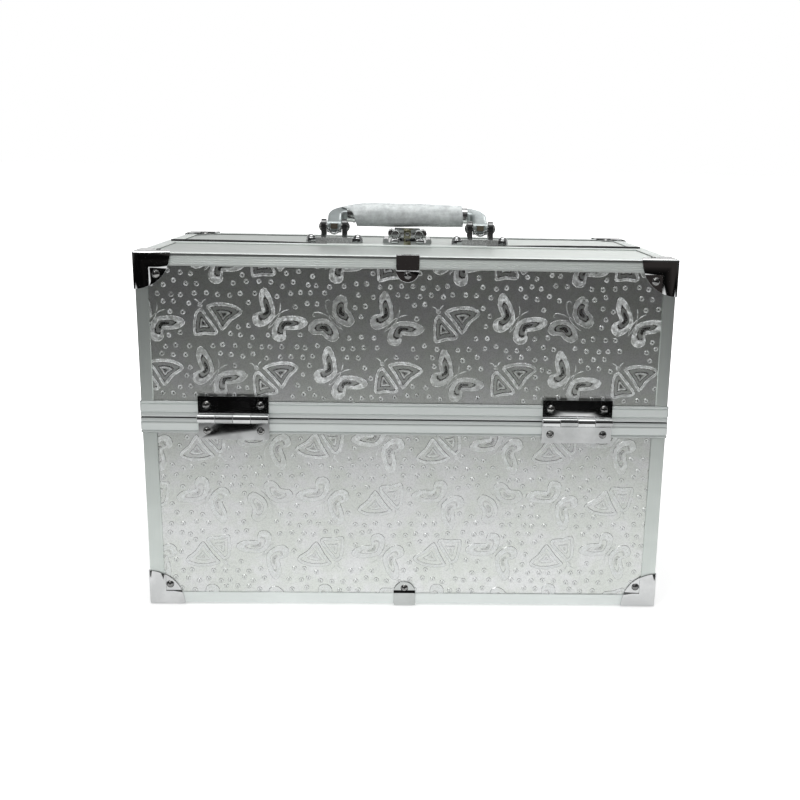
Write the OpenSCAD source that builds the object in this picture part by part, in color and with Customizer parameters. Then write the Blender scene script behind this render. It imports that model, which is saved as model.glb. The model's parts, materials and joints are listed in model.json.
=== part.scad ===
// Make-up case with an aluminium frame. Two half lids are hinged at mid height on the front and on the
// rear, meet over the middle, and carry two trays each that swing out on parallel bars as the lid opens.

/* [Case] */
// Width of the case from end to end
case_w = 360; // [300:1:420]
// Depth of the case from front to rear
case_d = 220; // [205:1:250]
// Height of the closed lids' top face
case_h = 246; // [240:1:280]
// Height of the split between base and lids
base_h = 136; // [100:1:140]
// Gap between the base rim and the lid rims
rim_gap = 0.5; // [0.4:0.1:1]
// Gap between the two half lids
seam_gap = 1.2; // [0.8:0.1:2]

/* [Boards and lining] */
// Thickness of the covered boards
board_t = 3.4; // [3:0.1:4]
// Thickness of the lining
lining_t = 0.8; // [0.6:0.1:1.2]

/* [Aluminium frame] */
// Wall of the edge profiles, and how deep the boards lie behind their faces
skin_t = 1; // [0.8:0.1:1.2]
// Rounding of the outer edges
edge_r = 0.8; // [0.5:0.1:1.2]
// Width of the base's corner posts
base_post_w = 10; // [9:0.1:10.1]
// Width of the lids' corner posts
lid_post_w = 8.5; // [7.5:0.5:10]
// Height of the bottom rails
bottom_rail_h = 8; // [7:0.5:10]
// Height of the top rails
top_rail_h = 8.5; // [7.5:0.5:10]
// Width of the rails' legs on the top and bottom faces
rail_leg = 9; // [8:0.5:10]
// Depth of the fine grooves in the top rails
rib_depth = 0.35; // [0.2:0.05:0.5]
// Height of each rim beside the split
rim_h = 10.8; // [9:0.1:12]
// How far the rims stand proud of the case
rim_proud = 1; // [0.6:0.1:1.2]
// Solid part of the rims beside the split
rim_web = 3.4; // [3:0.1:4]
// Height of the ridge that locates the lids
ridge_h = 1.6; // [1.2:0.1:2]
// Width of the ridge that locates the lids
ridge_w = 1.2; // [1:0.1:1.4]
// Clearance round the ridge
ridge_gap = 0.6; // [0.5:0.1:0.8]
// Width of the edging along the seam between the lids
seam_rail_w = 8; // [6:0.5:10]

/* [Corner plates and clips] */
// Thickness of the pressed plates
plate_t = 1; // [0.8:0.1:1.2]
// Radius of the rounded plates, from the corner
plate_r = 24; // [21:0.5:30]
// Distance of the plates' rivets from the edges
plate_rivet = 13.9; // [13.8:0.1:15]
// Width of the centre clips
clip_w = 15.5; // [13:0.5:20]
// Length of the clips' lips on the top and bottom faces
clip_lip = 4; // [3:0.5:6]

/* [Rivets] */
// Head radius of the rivets
rivet_r = 2.7; // [2.2:0.1:3]
// Head height of the rivets
rivet_h = 1.5; // [1.2:0.1:2]
// Shank radius of the rivets
shank_r = 1.5; // [1.2:0.1:1.7]
// Clearance round the rivets' shanks
shank_gap = 0.05; // [0.03:0.01:0.1]

/* [Hinges] */
// Distance of the hinges from the middle
hinge_x = 117.5; // [90:0.5:125]
// Width of the hinges
hinge_w = 48; // [40:1:60]
// Height of each hinge leaf from the split
leaf_h = 15; // [14:0.5:18]
// Thickness of the leaves
leaf_t = 1.2; // [1:0.1:1.5]
// Radius of the knuckles
knuckle_r = 3.2; // [3:0.1:3.6]
// Number of knuckles
knuckle_n = 4; // [4:1:6]
// Gap between knuckles
knuckle_gap = 0.3; // [0.2:0.05:0.5]
// Radius of the hinge pins
hinge_pin_r = 1.5; // [1.2:0.1:1.7]
// Clearance in the turning joints
turn_gap = 0.06; // [0.03:0.01:0.1]
// Distance of the hinge rivets from the leaf's ends
leaf_rivet_in = 5.8; // [5:0.1:8]
// Distance of the hinge rivets from the split
leaf_rivet_up = 8.8; // [8:0.1:10]

/* [Trays] */
// Height of the lower trays
lower_tray_h = 32.5; // [32:0.5:34]
// Free height under the lid's top above the upper trays
tray_head_space = 29; // [27:1:36]
// Gap under and between the trays
tray_gap = 2; // [1.5:0.1:3]
// Distance of the lower trays from the case's face
lower_tray_in = 22; // [21:0.5:26]
// Distance of the upper trays from the case's face
upper_tray_in = 17; // [16:0.5:24]
// Gap between a tray and the seam
tray_seam_gap = 1.9; // [1.5:0.1:4]
// Room at each tray end for the bars
tray_side_gap = 5.4; // [5.2:0.1:7]
// Thickness of the tray walls
tray_wall = 2.4; // [2:0.1:3]
// Rounding of the tray edges
tray_r = 4; // [3.5:0.5:6]
// Number of compartments in a lower tray
lower_cells = 4; // [2:1:6]
// Number of compartments in an upper tray
upper_cells = 3; // [2:1:6]
// Thickness of the dividers
divider_t = 1.8; // [1.4:0.1:2.2]
// Depth of the guides for the dividers
guide_d = 1.2; // [1:0.1:1.6]
// Clearance of the dividers in their guides
divider_gap = 0.2; // [0.1:0.05:0.4]

/* [Tray bars] */
// Slope of the bars with the lids closed
bar_angle = 35; // [34:0.5:37]
// Distance from a bar's foot to the lower tray's pin
lower_bar_l = 54; // [52:0.5:56]
// Distance from a bar's foot to the upper tray's pin
upper_bar_l = 81.5; // [81:0.5:83]
// Depth of the bars' feet below the split
bar_foot = 4; // [3.8:0.1:5]
// Distance of the upper pin from the tray's inner edge
bar_pin_in = 8.5; // [8.4:0.1:10]
// Width of the bars
bar_w = 10; // [8:0.5:12]
// Thickness of the bars
bar_t = 2; // [1.5:0.1:2.5]
// Gap between a bar and the trays
bar_gap = 0.5; // [0.4:0.05:0.8]
// Radius of the pins of trays and bars
tray_pin_r = 2; // [1.8:0.1:2.2]
// Clearance of the lids' pins in the trays
open_pin_gap = 0.15; // [0.1:0.01:0.3]
// Radius of the pin heads
pin_head_r = 3.2; // [3:0.1:3.5]
// Thickness of the pin heads
pin_head_t = 1; // [0.8:0.1:1.2]
// Length of the slot that lightens a bar
bar_slot_l = 27; // [20:1:30]
// Width of that slot
bar_slot_w = 3.2; // [2:0.1:4]
// Clearance of the rivet heads inside the trays
rivet_head_gap = 0.2; // [0.1:0.05:0.3]

/* [Handle] */
// Distance of the handle brackets from the middle
bracket_x = 55; // [45:0.5:70]
// Distance of the handle's pivot behind the seam
pivot_y = 10; // [9:0.5:14]
// Height of the handle's pivot above the lid
pivot_up = 12; // [12:0.5:13]
// Distance from the pivot to the middle of the grip
handle_reach = 21.5; // [21.5:0.5:30]
// How far the handle leans back at rest
handle_lean = 67; // [50:1:67]
// Length of the bracket feet
bracket_l = 35; // [32:1:40]
// Width of the bracket feet
bracket_d = 11; // [9:0.5:14]
// Thickness of the bracket feet
bracket_t = 3.6; // [3:0.1:5]
// Radius of the round ends of the bracket feet
boss_r = 3.7; // [3.4:0.1:4.5]
// Space between the two ears of a bracket
ear_space = 12; // [11.2:0.1:14]
// Thickness of the ears
ear_t = 3.6; // [2.5:0.1:4]
// Radius of the ears' round tops
ear_r = 5.6; // [5:0.1:6.5]
// Radius of the handle's pivot pins
handle_pin_r = 2; // [1.6:0.1:2.4]
// Width of the handle arms along the pivot
arm_w = 10.6; // [9:0.1:11.4]
// Radius of the handle arms' round ends
arm_r = 4.5; // [4:0.1:5]
// Width of the pocket in the front of each arm's round end
pocket_w = 6.6; // [5:0.1:7.5]
// Height of that pocket
pocket_h = 5; // [4:0.1:6]
// Depth of that pocket
pocket_d = 1.2; // [0.8:0.1:1.4]
// Radius of the arms' bend, to the middle of the arm
arm_bend = 9; // [8:0.5:12]
// Length of the ferrules between arms and grip
ferrule_l = 8; // [5:0.5:10]
// Radius of the ferrules
ferrule_r = 6; // [5.5:0.1:7]
// Radius of the grip at its ends
grip_end_r = 7.6; // [7:0.1:8]
// Radius of the grip at its middle
grip_mid_r = 8.3; // [8:0.1:8.6]
// Thickness of the clear sleeve on the grip
sleeve_t = 0.4; // [0.3:0.05:0.6]
// How far the sleeve passes over each end of the grip
sleeve_over = 2; // [1:0.5:4]

/* [Latch] */
// Width of the latch foot
latch_foot_w = 37; // [34:0.5:44]
// Width of the latch body
latch_w = 29; // [27:0.5:32]
// Depth of the latch from its front to its rear
latch_d = 30; // [27:0.5:32]
// Height of the latch above the lid
latch_h = 11; // [10:0.1:11.2]
// Thickness of the latch foot
latch_foot_t = 1.6; // [1.2:0.1:2]
// Radius of the rolled edges of the latch
roll_r = 2.4; // [2:0.1:2.8]
// Distance of the lock's axis behind the seam
lock_y = 9; // [8.5:0.1:10]
// Radius of the lock cylinder
lock_r = 4.5; // [4:0.1:5]
// Reach of the lock's cam from its axis
cam_l = 11.4; // [11:0.1:11.8]
// Thickness of the lock's cam
cam_t = 1.6; // [1.2:0.1:2]
// Width of the cam's tip
cam_tip = 2.2; // [1.8:0.1:2.4]
// Clearance round the cam
cam_gap = 0.4; // [0.3:0.05:0.6]
// Width of the keeper
keeper_w = 5.2; // [4.8:0.1:6]
// Thickness of the keeper
keeper_t = 1.6; // [1.4:0.1:2]
// Distance of the keeper from the seam edge of the front lid
keeper_in = 0.2; // [0.1:0.05:0.4]
// Width of the keeper's solid edge beside its notch
keeper_edge = 1.1; // [0.9:0.1:1.3]
// Height of the window near the keeper's top
window_h = 2.8; // [2:0.1:3.2]
// Distance of that window's top from the keeper's top
window_in = 1.8; // [1.4:0.1:2.4]
// Depth of the round sinkings in the latch's front
sink_d = 1.6; // [1:0.1:2]
// Height of the lock's cam above the lid
cam_up = 2.8; // [2.6:0.1:3]
// Width of the key slot
key_slot_w = 1.2; // [1:0.1:1.6]
// Depth of the key slot
key_slot_d = 3; // [2:0.1:4]

/* [Hidden] */
$fn = 48;

half_w = case_w / 2;
half_d = case_d / 2;
wall_t = board_t + 2 * skin_t;
inner_w = half_w - wall_t - lining_t;
bottom_z = plate_t;
base_top = base_h - rim_gap / 2;
lid_bottom = base_h + rim_gap / 2;
seam_y = seam_gap / 2;
lid_inner_top = case_h - wall_t - lining_t;
far = 60;

// The hinge axis lies clear of the rims, so the knuckles turn beside them
hinge_out = rim_proud + knuckle_r + knuckle_gap;
leaf_base = rim_proud;

tray_half_l = inner_w - tray_side_gap;
tray_inner = half_d - seam_y - tray_seam_gap;
lower_tray_z = lid_bottom + tray_gap;
upper_tray_z = lower_tray_z + lower_tray_h + tray_gap;
upper_tray_h = lid_inner_top - tray_head_space - upper_tray_z;

// Each lid's hinge and the feet of its bars carry equal, parallel arms, so the trays stay level
lower_arm = lower_bar_l * [cos(bar_angle), sin(bar_angle)];
upper_arm = upper_bar_l * [cos(bar_angle), sin(bar_angle)];
hinge_at = [-hinge_out, base_h];
foot_at = [tray_inner - bar_pin_in - upper_arm[0], base_h - bar_foot];
bar_x = tray_half_l + bar_gap;

lid_z = case_h;
pivot_z = lid_z + pivot_up;
bend_x = bracket_x - arm_bend;
grip_half_l = bend_x - ferrule_l;
cam_z = lid_z + cam_up;
clip_tab_r = clip_w / 2;

// Shapes that several sub-parts share

// Mirrors a sub-part to both ends of the case
module both_ends() {
    children();
    mirror([1, 0, 0]) children();
}

// Repeats a front sub-part on the rear
module both_faces() {
    children();
    rotate([0, 0, 180]) children();
}

module to_rear() {
    rotate([0, 0, 180]) children();
}

// A flat shape of depth and height, extruded along the case's width about its middle
module along_width(length) {
    rotate([90, 0, 90]) linear_extrude(length, center = true) children();
}

// The same shape extruded from one plane to another at the right end
module at_end(from_x, to_x) {
    translate([from_x, 0, 0]) rotate([90, 0, 90]) linear_extrude(to_x - from_x) children();
}

// A rectangle with its corner at the origin rounded
module corner_square(w, h, r) {
    translate([r, r]) circle(r);
    translate([r, 0]) square([w - r, h]);
    translate([0, r]) square([w, h - r]);
}

// A centred rectangle with four round corners
module round_rect(w, h, r) {
    square([w - 2 * r, h], center = true);
    square([w, h - 2 * r], center = true);
    for (x = [-1, 1], y = [-1, 1]) translate([x * (w / 2 - r), y * (h / 2 - r)]) circle(r);
}

// Section of an edge profile: two legs from the outer corner, each with a slot that holds a board
module edge_section(leg_x, leg_y) {
    difference() {
        union() {
            corner_square(leg_x, wall_t, edge_r);
            corner_square(wall_t, leg_y, edge_r);
        }
        translate([wall_t, skin_t]) square([leg_x, board_t]);
        translate([skin_t, wall_t]) square([board_t, leg_y]);
    }
}

// Section of a top rail, whose face has a bead, a groove and fine ribs
module ribbed_section(leg_y, leg_z) {
    groove_w = leg_z / 12;
    difference() {
        edge_section(leg_y, leg_z);
        for (i = [2, 5, 7, 9]) {
            depth = i == 2 ? 1.6 * rib_depth : rib_depth;
            translate([-1, i * groove_w]) square([1 + depth, i == 2 ? 1.3 * groove_w : 0.7 * groove_w]);
        }
    }
}

// A ring round the case, between two distances in from its faces and two heights
module case_ring(from_in, to_in, low, high) {
    translate([0, 0, low]) linear_extrude(high - low) difference() {
        square([case_w - 2 * from_in, case_d - 2 * from_in], center = true);
        square([case_w - 2 * to_in, case_d - 2 * to_in], center = true);
    }
}

// The round bead along all four sides of a rim
module rim_bead(r, out) {
    at = [r - out, rim_h - r];
    both_faces() along_width(case_w + 2 * out) translate([-half_d, 0]) translate(at) circle(r);
    both_faces() rotate([0, 0, 90]) along_width(case_d + 2 * out) translate([-half_w, 0])
        translate(at) circle(r);
}

// A rim round the whole case, its split face at height 0: a ridge or its groove, a low band,
// a broad band and a bead
module rim_ring(with_ridge) {
    ridge_in = (wall_t - ridge_w) / 2;
    intersection() {
        difference() {
            union() {
                case_ring(0, wall_t, 0, rim_web);
                case_ring(wall_t - skin_t, wall_t, 0, rim_h);
                case_ring(-0.25 * rim_proud, skin_t, 0, rim_h);
                case_ring(-0.6 * rim_proud, skin_t, 0, 0.27 * rim_h);
                case_ring(-rim_proud, skin_t, 0.32 * rim_h, 0.8 * rim_h);
                rim_bead(0.08 * rim_h, 0.8 * rim_proud);
                if (with_ridge) case_ring(ridge_in, ridge_in + ridge_w, -ridge_h, rim_web);
            }
            if (!with_ridge) case_ring(ridge_in - ridge_gap, ridge_in + ridge_w + ridge_gap,
                -ridge_gap, ridge_h - rim_gap + ridge_gap);
        }
        translate([0, 0, -ridge_h - 1]) linear_extrude(rim_h + ridge_h + 2)
            round_rect(case_w + 2 * rim_proud, case_d + 2 * rim_proud, edge_r + rim_proud);
    }
}

// Keeps the front half of a sub-part, up to the seam
module front_half() {
    intersection() {
        children();
        translate([-case_w, -case_d, 0]) cube([2 * case_w, case_d - seam_y, case_h + far]);
    }
}

module dome(r, h) {
    ball_r = (r * r + h * h) / (2 * h);
    intersection() {
        translate([0, 0, h - ball_r]) sphere(ball_r);
        translate([-r, -r, 0]) cube([2 * r, 2 * r, h]);
    }
}

// A rivet that stands on the plane z = 0, its shank through a sheet below
module rivet(sheet, hollow = false, head_h = rivet_h) {
    difference() {
        union() {
            dome(rivet_r, head_h);
            translate([0, 0, -sheet]) cylinder(r = shank_r, h = sheet + head_h / 3);
        }
        if (hollow) translate([0, 0, 0.2 * head_h]) cylinder(r = 0.42 * rivet_r, h = head_h);
    }
}

// Turns a sub-part from standing on the ground to standing on the front face
module on_front(x, z, out) {
    translate([x, -half_d - out, z]) rotate([90, 0, 0]) children();
}

module on_right(y, z, out) {
    translate([half_w + out, y, z]) rotate([0, 90, 0]) children();
}

// Corner plates

// One face of a corner plate: raised over the frame, then pressed down on to the board
module plate_face(leg_a, leg_b) {
    reach = plate_r + plate_t;
    module quarter() {
        intersection() {
            translate([-plate_t, -plate_t]) circle(reach, $fn = 96);
            translate([-plate_t, -plate_t]) square(reach);
        }
    }
    difference() {
        union() {
            translate([0, 0, -plate_t]) linear_extrude(plate_t) difference() {
                quarter();
                translate([leg_a + plate_t, leg_b + plate_t]) square(reach);
            }
            linear_extrude(skin_t) intersection() {
                quarter();
                translate([leg_a, leg_b]) square(reach);
            }
        }
        translate([plate_rivet, plate_rivet, -2 * plate_t])
            cylinder(r = shank_r + shank_gap, h = skin_t + 3 * plate_t);
    }
}

// A plate on three faces, the case's corner at the origin and the case on the positive side
module corner_plate(post, rail) {
    round_r = edge_r + plate_t;
    intersection() {
        union() {
            plate_face(rail_leg, rail_leg);
            mirror([0, 1, 0]) rotate([90, 0, 0]) plate_face(post, rail);
            rotate([90, 0, 90]) plate_face(post, rail);
        }
        translate([-plate_t, -plate_t, -plate_t]) linear_extrude(far) corner_square(far, far, round_r);
        translate([-plate_t, far - plate_t, -plate_t]) rotate([90, 0, 0])
            linear_extrude(far) corner_square(far, far, round_r);
        translate([-plate_t, -plate_t, -plate_t]) rotate([90, 0, 90])
            linear_extrude(far) corner_square(far, far, round_r);
    }
}

// The three rivets of a corner plate; those under the case have flat heads inside the plate's step
module plate_rivets(level_h = rivet_h) {
    at = plate_rivet;
    translate([at, at, 0]) mirror([0, 0, 1]) rivet(skin_t, head_h = level_h);
    translate([at, 0, at]) rotate([90, 0, 0]) rivet(skin_t);
    translate([0, at, at]) rotate([0, -90, 0]) rivet(skin_t);
}

module at_top_corners() {
    both_ends() translate([-half_w, -half_d, case_h]) mirror([0, 0, 1]) children();
}

module at_bottom_corners() {
    both_faces() both_ends() translate([-half_w, -half_d, bottom_z]) children();
}

// Centre clips

// A clip over a rail at the case's edge: the edge at the origin, the rail upwards
module clip(rail) {
    difference() {
        union() {
            translate([-clip_w / 2, -plate_t, -plate_t]) cube([clip_w, plate_t, rail + 2 * plate_t]);
            translate([-clip_w / 2, -plate_t, -plate_t]) cube([clip_w, clip_lip + plate_t, plate_t]);
            translate([0, skin_t, rail]) rotate([90, 0, 0]) linear_extrude(skin_t) {
                translate([-clip_w / 2, 0]) square([clip_w, plate_t]);
                intersection() {
                    translate([0, plate_t]) circle(clip_tab_r);
                    translate([-clip_w / 2, plate_t]) square([clip_w, clip_w]);
                }
            }
        }
        translate([0, far, rail + clip_tab_r / 2]) rotate([90, 0, 0])
            cylinder(r = shank_r + shank_gap, h = 2 * far);
    }
}

module clip_rivet(rail) {
    translate([0, 0, rail + clip_tab_r / 2]) rotate([90, 0, 0]) rivet(skin_t);
}

module at_top_middle() {
    translate([0, -half_d, case_h]) mirror([0, 0, 1]) children();
}

// Hinges

// Knuckles of one leaf, every second one from the first, and the leaf that carries them.
// The hinge axis is the local X axis, the leaf rises along Z and the case is on the +Y side.
module hinge_leaf(first) {
    pitch = hinge_w / knuckle_n;
    own = [for (i = [0:knuckle_n - 1]) if (i % 2 == first) i];
    leaf_y = hinge_out - leaf_base - leaf_t;
    difference() {
        union() {
            translate([-hinge_w / 2, leaf_y, 0]) cube([hinge_w, leaf_t, leaf_h]);
            for (i = own) translate([-hinge_w / 2 + i * pitch + knuckle_gap / 2, 0, 0])
                rotate([0, 90, 0]) cylinder(r = knuckle_r, h = pitch - knuckle_gap);
        }
        translate([-hinge_w, 0, 0]) rotate([0, 90, 0])
            cylinder(r = hinge_pin_r + turn_gap, h = 2 * hinge_w);
        for (i = [0:knuckle_n - 1]) if (i % 2 != first)
            translate([-hinge_w / 2 + i * pitch - knuckle_gap / 2, 0, 0]) rotate([0, 90, 0])
                cylinder(r = knuckle_r + knuckle_gap, h = pitch + knuckle_gap);
        for (x = [-1, 1]) translate([x * (hinge_w / 2 - leaf_rivet_in), 0, leaf_rivet_up])
            rotate([-90, 0, 0]) cylinder(r = shank_r + shank_gap, h = far);
    }
}

module at_hinges() {
    for (side = [-1, 1]) translate([side * hinge_x, -half_d - hinge_out, base_h]) children();
}

// Base

module base_long_boards() {
    color("silver") both_faces() translate([-half_w + wall_t, -half_d + skin_t, bottom_z + wall_t])
        cube([case_w - 2 * wall_t, board_t, base_top - rim_web - bottom_z - wall_t]);
}

module base_end_boards() {
    color("silver") both_ends() translate([-half_w + skin_t, -half_d + wall_t, bottom_z + wall_t])
        cube([board_t, case_d - 2 * wall_t, base_top - rim_web - bottom_z - wall_t]);
}

module base_bottom_board() {
    color("dimgray") translate([-half_w + wall_t, -half_d + wall_t, bottom_z + skin_t])
        cube([case_w - 2 * wall_t, case_d - 2 * wall_t, board_t]);
}

module base_posts() {
    color("gainsboro") both_faces() both_ends() translate([-half_w, -half_d, bottom_z])
        linear_extrude(base_top - rim_h - bottom_z) edge_section(base_post_w, base_post_w);
}

module base_bottom_rails() {
    color("gainsboro") {
        both_faces() along_width(case_w - 2 * base_post_w)
            translate([-half_d, bottom_z]) edge_section(rail_leg, bottom_rail_h);
        both_faces() rotate([0, 0, 90]) along_width(case_d - 2 * base_post_w)
            translate([-half_w, bottom_z]) edge_section(rail_leg, bottom_rail_h);
    }
}

module base_rim() {
    color("gainsboro") translate([0, 0, base_top]) mirror([0, 0, 1]) rim_ring(true);
}

module base_corner_plates() {
    color("silver") at_bottom_corners() corner_plate(base_post_w, bottom_rail_h);
}

module base_clips() {
    color("silver") both_faces() translate([0, -half_d, bottom_z]) clip(bottom_rail_h);
}

// The rivets of plates, clips and hinge leaves; the inner lower one of each front hinge is hollow
module base_rivets() {
    out = leaf_base + leaf_t;
    rivet_z = base_h - leaf_rivet_up;
    color("silver") {
        at_bottom_corners() plate_rivets(0.8 * plate_t);
        both_faces() translate([0, -half_d, bottom_z]) clip_rivet(bottom_rail_h);
        both_faces() for (side = [-1, 1], end = [-1, 1])
            on_front(side * hinge_x + end * (hinge_w / 2 - leaf_rivet_in), rivet_z, out)
                rivet(leaf_t, side != end);
    }
}

module base_hinge_leaves() {
    color("silver") both_faces() at_hinges() mirror([0, 0, 1]) hinge_leaf(1);
}

module hinge_pins() {
    color("darkgray") both_faces() at_hinges() translate([-hinge_w / 2 - knuckle_gap, 0, 0])
        rotate([0, 90, 0]) cylinder(r = hinge_pin_r, h = hinge_w + 2 * knuckle_gap);
}

module base_lining() {
    floor_z = bottom_z + skin_t + board_t;
    color("dimgray") difference() {
        translate([-half_w + wall_t, -half_d + wall_t, floor_z])
            cube([case_w - 2 * wall_t, case_d - 2 * wall_t, base_top - floor_z]);
        translate([-inner_w, -half_d + wall_t + lining_t, floor_z + lining_t])
            cube([2 * inner_w, case_d - 2 * wall_t - 2 * lining_t, base_top]);
        base_bottom_rails();
        base_posts();
    }
}

// A pin of a bar's foot: a flange on the base's lining, a shank and a head inside the bar
module bar_pivots() {
    head_x = bar_x - turn_gap - pin_head_t;
    color("darkgray") both_faces() both_ends() translate([0, -half_d, 0]) {
        at_end(head_x, head_x + pin_head_t) translate(foot_at) circle(pin_head_r);
        at_end(head_x + pin_head_t / 2, inner_w) translate(foot_at) circle(tray_pin_r);
        at_end(bar_x + bar_t + turn_gap, inner_w) translate(foot_at) circle(pin_head_r);
    }
}

// Lids, drawn as the front lid

module lid_side_boards() {
    low = lid_bottom + rim_web;
    high = case_h - wall_t;
    color("silver") {
        translate([-half_w + wall_t, -half_d + skin_t, low])
            cube([case_w - 2 * wall_t, board_t, high - low]);
        both_ends() translate([-half_w + skin_t, -half_d + wall_t, low])
            cube([board_t, half_d - wall_t - seam_y - skin_t, high - low]);
    }
}

module lid_top_board() {
    color("gainsboro") translate([-half_w + wall_t, -half_d + wall_t, case_h - skin_t - board_t])
        cube([case_w - 2 * wall_t, half_d - wall_t - seam_y - skin_t, board_t]);
}

module lid_posts() {
    color("gainsboro") both_ends() translate([-half_w, -half_d, lid_bottom + rim_h])
        linear_extrude(case_h - lid_bottom - rim_h) edge_section(lid_post_w, lid_post_w);
}

module lid_top_rails() {
    end_l = half_d - lid_post_w - seam_y - seam_rail_w;
    color("gainsboro") {
        along_width(case_w - 2 * lid_post_w) translate([-half_d, case_h]) mirror([0, 1])
            ribbed_section(rail_leg, top_rail_h);
        both_ends() translate([0, -half_d + lid_post_w + end_l / 2, 0]) rotate([0, 0, -90])
            along_width(end_l) translate([-half_w, case_h]) mirror([0, 1])
                ribbed_section(rail_leg, top_rail_h);
    }
}

module lid_rim() {
    color("gainsboro") front_half() translate([0, 0, lid_bottom]) rim_ring(false);
}

// A flat frame over the top and both ends, between two distances in from the case's faces
module portal(outer, inner, depth) {
    low = lid_bottom + rim_h;
    rotate([90, 0, 0]) linear_extrude(depth) difference() {
        translate([-half_w + outer, low]) square([case_w - 2 * outer, case_h - outer - low]);
        translate([-half_w + inner, low - 1]) square([case_w - 2 * inner, case_h - inner - low + 1]);
    }
}

module lid_seam_rail() {
    color("gainsboro") difference() {
        translate([0, -seam_y, 0]) portal(0, wall_t, seam_rail_w);
        translate([0, -seam_y - skin_t, 0]) portal(skin_t, skin_t + board_t, seam_rail_w);
    }
}

module lid_corner_plates() {
    color("dimgray") at_top_corners() corner_plate(lid_post_w, top_rail_h);
}

module lid_clip() {
    color("dimgray") at_top_middle() clip(top_rail_h);
}

module lid_hinge_leaves() {
    color("dimgray") at_hinges() hinge_leaf(0);
}

module lid_rivets() {
    color("silver") {
        at_top_corners() plate_rivets();
        at_top_middle() clip_rivet(top_rail_h);
        for (side = [-1, 1], end = [-1, 1])
            on_front(side * hinge_x + end * (hinge_w / 2 - leaf_rivet_in), base_h + leaf_rivet_up,
                leaf_base + leaf_t) rivet(leaf_t);
    }
}

module lid_lining() {
    front_y = -half_d + wall_t;
    color("dimgray") difference() {
        translate([-half_w + wall_t, front_y, lid_bottom])
            cube([case_w - 2 * wall_t, -seam_y - front_y, case_h - wall_t - lid_bottom]);
        translate([-inner_w, front_y + lining_t, lid_bottom - 1])
            cube([2 * inner_w, half_d, lid_inner_top - lid_bottom + 1]);
    }
}

// Pins on the lid's ends that carry the trays, each with a flange on the lining and a head
module lid_tray_pins() {
    color("darkgray") both_ends() for (arm = [lower_arm, upper_arm])
        translate([0, -half_d, 0]) {
            at_end(inner_w - pin_head_t, inner_w) translate(hinge_at + arm) circle(pin_head_r + 1);
            at_end(tray_half_l - tray_wall - pin_head_t, inner_w)
                translate(hinge_at + arm) circle(tray_pin_r);
        }
}

// Handle

// A foot with round bosses at its ends and two ears for the pivot pin
module handle_bracket() {
    difference() {
        union() {
            translate([-bracket_l / 2, -bracket_d / 2, 0]) cube([bracket_l, bracket_d, bracket_t]);
            for (side = [-1, 1]) {
                translate([side * bracket_l / 2, 0, 0]) cylinder(r = boss_r, h = bracket_t);
                translate([side * bracket_l / 2, 0, bracket_t]) dome(boss_r, boss_r / 2);
                translate([side * (ear_space + ear_t) / 2, 0, 0]) rotate([90, 0, 90])
                    linear_extrude(ear_t, center = true) {
                        translate([0, pivot_up]) circle(ear_r);
                        translate([-ear_r, 0]) square([2 * ear_r, pivot_up]);
                    }
            }
        }
        translate([-bracket_l, 0, pivot_up]) rotate([0, 90, 0])
            cylinder(r = handle_pin_r + turn_gap, h = 2 * bracket_l);
    }
}

module handle_brackets() {
    color("silver") both_ends() translate([bracket_x, pivot_y, lid_z]) handle_bracket();
}

// Turns a sub-part drawn upright about the pivot to the handle's resting lean
module leaning() {
    translate([0, pivot_y, pivot_z]) rotate([-handle_lean, 0, 0]) children();
}

module handle_pins() {
    head = ear_space / 2 + ear_t;
    color("silver") both_ends() translate([bracket_x, pivot_y, pivot_z]) {
        translate([-head, 0, 0]) rotate([0, 90, 0]) cylinder(r = handle_pin_r, h = 2 * head);
        for (turn = [0, 180]) rotate([0, 0, turn]) translate([head + turn_gap, 0, 0]) rotate([0, 90, 0]) {
            dome(1.9 * handle_pin_r, handle_pin_r);
            translate([0, 0, -turn_gap]) cylinder(r = handle_pin_r, h = turn_gap + handle_pin_r / 2);
        }
    }
}

// An arm rises from its round end at the pivot and bends inwards to the ferrule
module handle_arms() {
    color("lightsteelblue") leaning() both_ends() difference() {
        union() {
            translate([bracket_x - arm_w / 2, 0, 0]) rotate([0, 90, 0]) cylinder(r = arm_r, h = arm_w);
            translate([bracket_x, 0, 0]) linear_extrude(handle_reach - arm_bend)
                round_rect(arm_w, 2 * arm_r, arm_r / 2);
            translate([bend_x, 0, handle_reach - arm_bend]) rotate([90, 0, 0])
                rotate_extrude(angle = 90, $fn = 96) translate([arm_bend, 0])
                    round_rect(arm_w, 2 * arm_r, arm_r / 2);
        }
        rotate([0, 90, 0]) cylinder(r = handle_pin_r + turn_gap, h = half_w);
        rotate([handle_lean, 0, 0]) translate([bracket_x - pocket_w / 2, -2 * arm_r, -pocket_h / 2])
            cube([pocket_w, arm_r + pocket_d, pocket_h]);
    }
}

module handle_ferrules() {
    color("silver") leaning() both_ends() translate([grip_half_l, 0, handle_reach]) rotate([0, 90, 0]) {
        cylinder(r = ferrule_r, h = ferrule_l);
        translate([0, 0, ferrule_l / 4]) cylinder(r = ferrule_r + 0.5, h = ferrule_l / 4);
    }
}

// Half the outline of the barrel-shaped grip, from one end to the other, grown outwards by a distance
function grip_outline(grow, half_l) = [
    for (i = [-8:8]) [grip_end_r + (grip_mid_r - grip_end_r) * cos(i * 90 / 8) + grow, i * half_l / 8]
];

module grip() {
    round_r = 2;
    color("silver") leaning() translate([0, 0, handle_reach]) rotate([0, 90, 0])
        rotate_extrude() difference() {
            polygon(concat([[0, -grip_half_l]], grip_outline(0, grip_half_l), [[0, grip_half_l]]));
            for (end = [-1, 1]) translate([grip_end_r - round_r, end * (grip_half_l - round_r)])
                difference() {
                    translate([0, end > 0 ? 0 : -round_r - 1]) square([round_r + 1, round_r + 1]);
                    circle(round_r);
                }
        }
}

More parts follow.
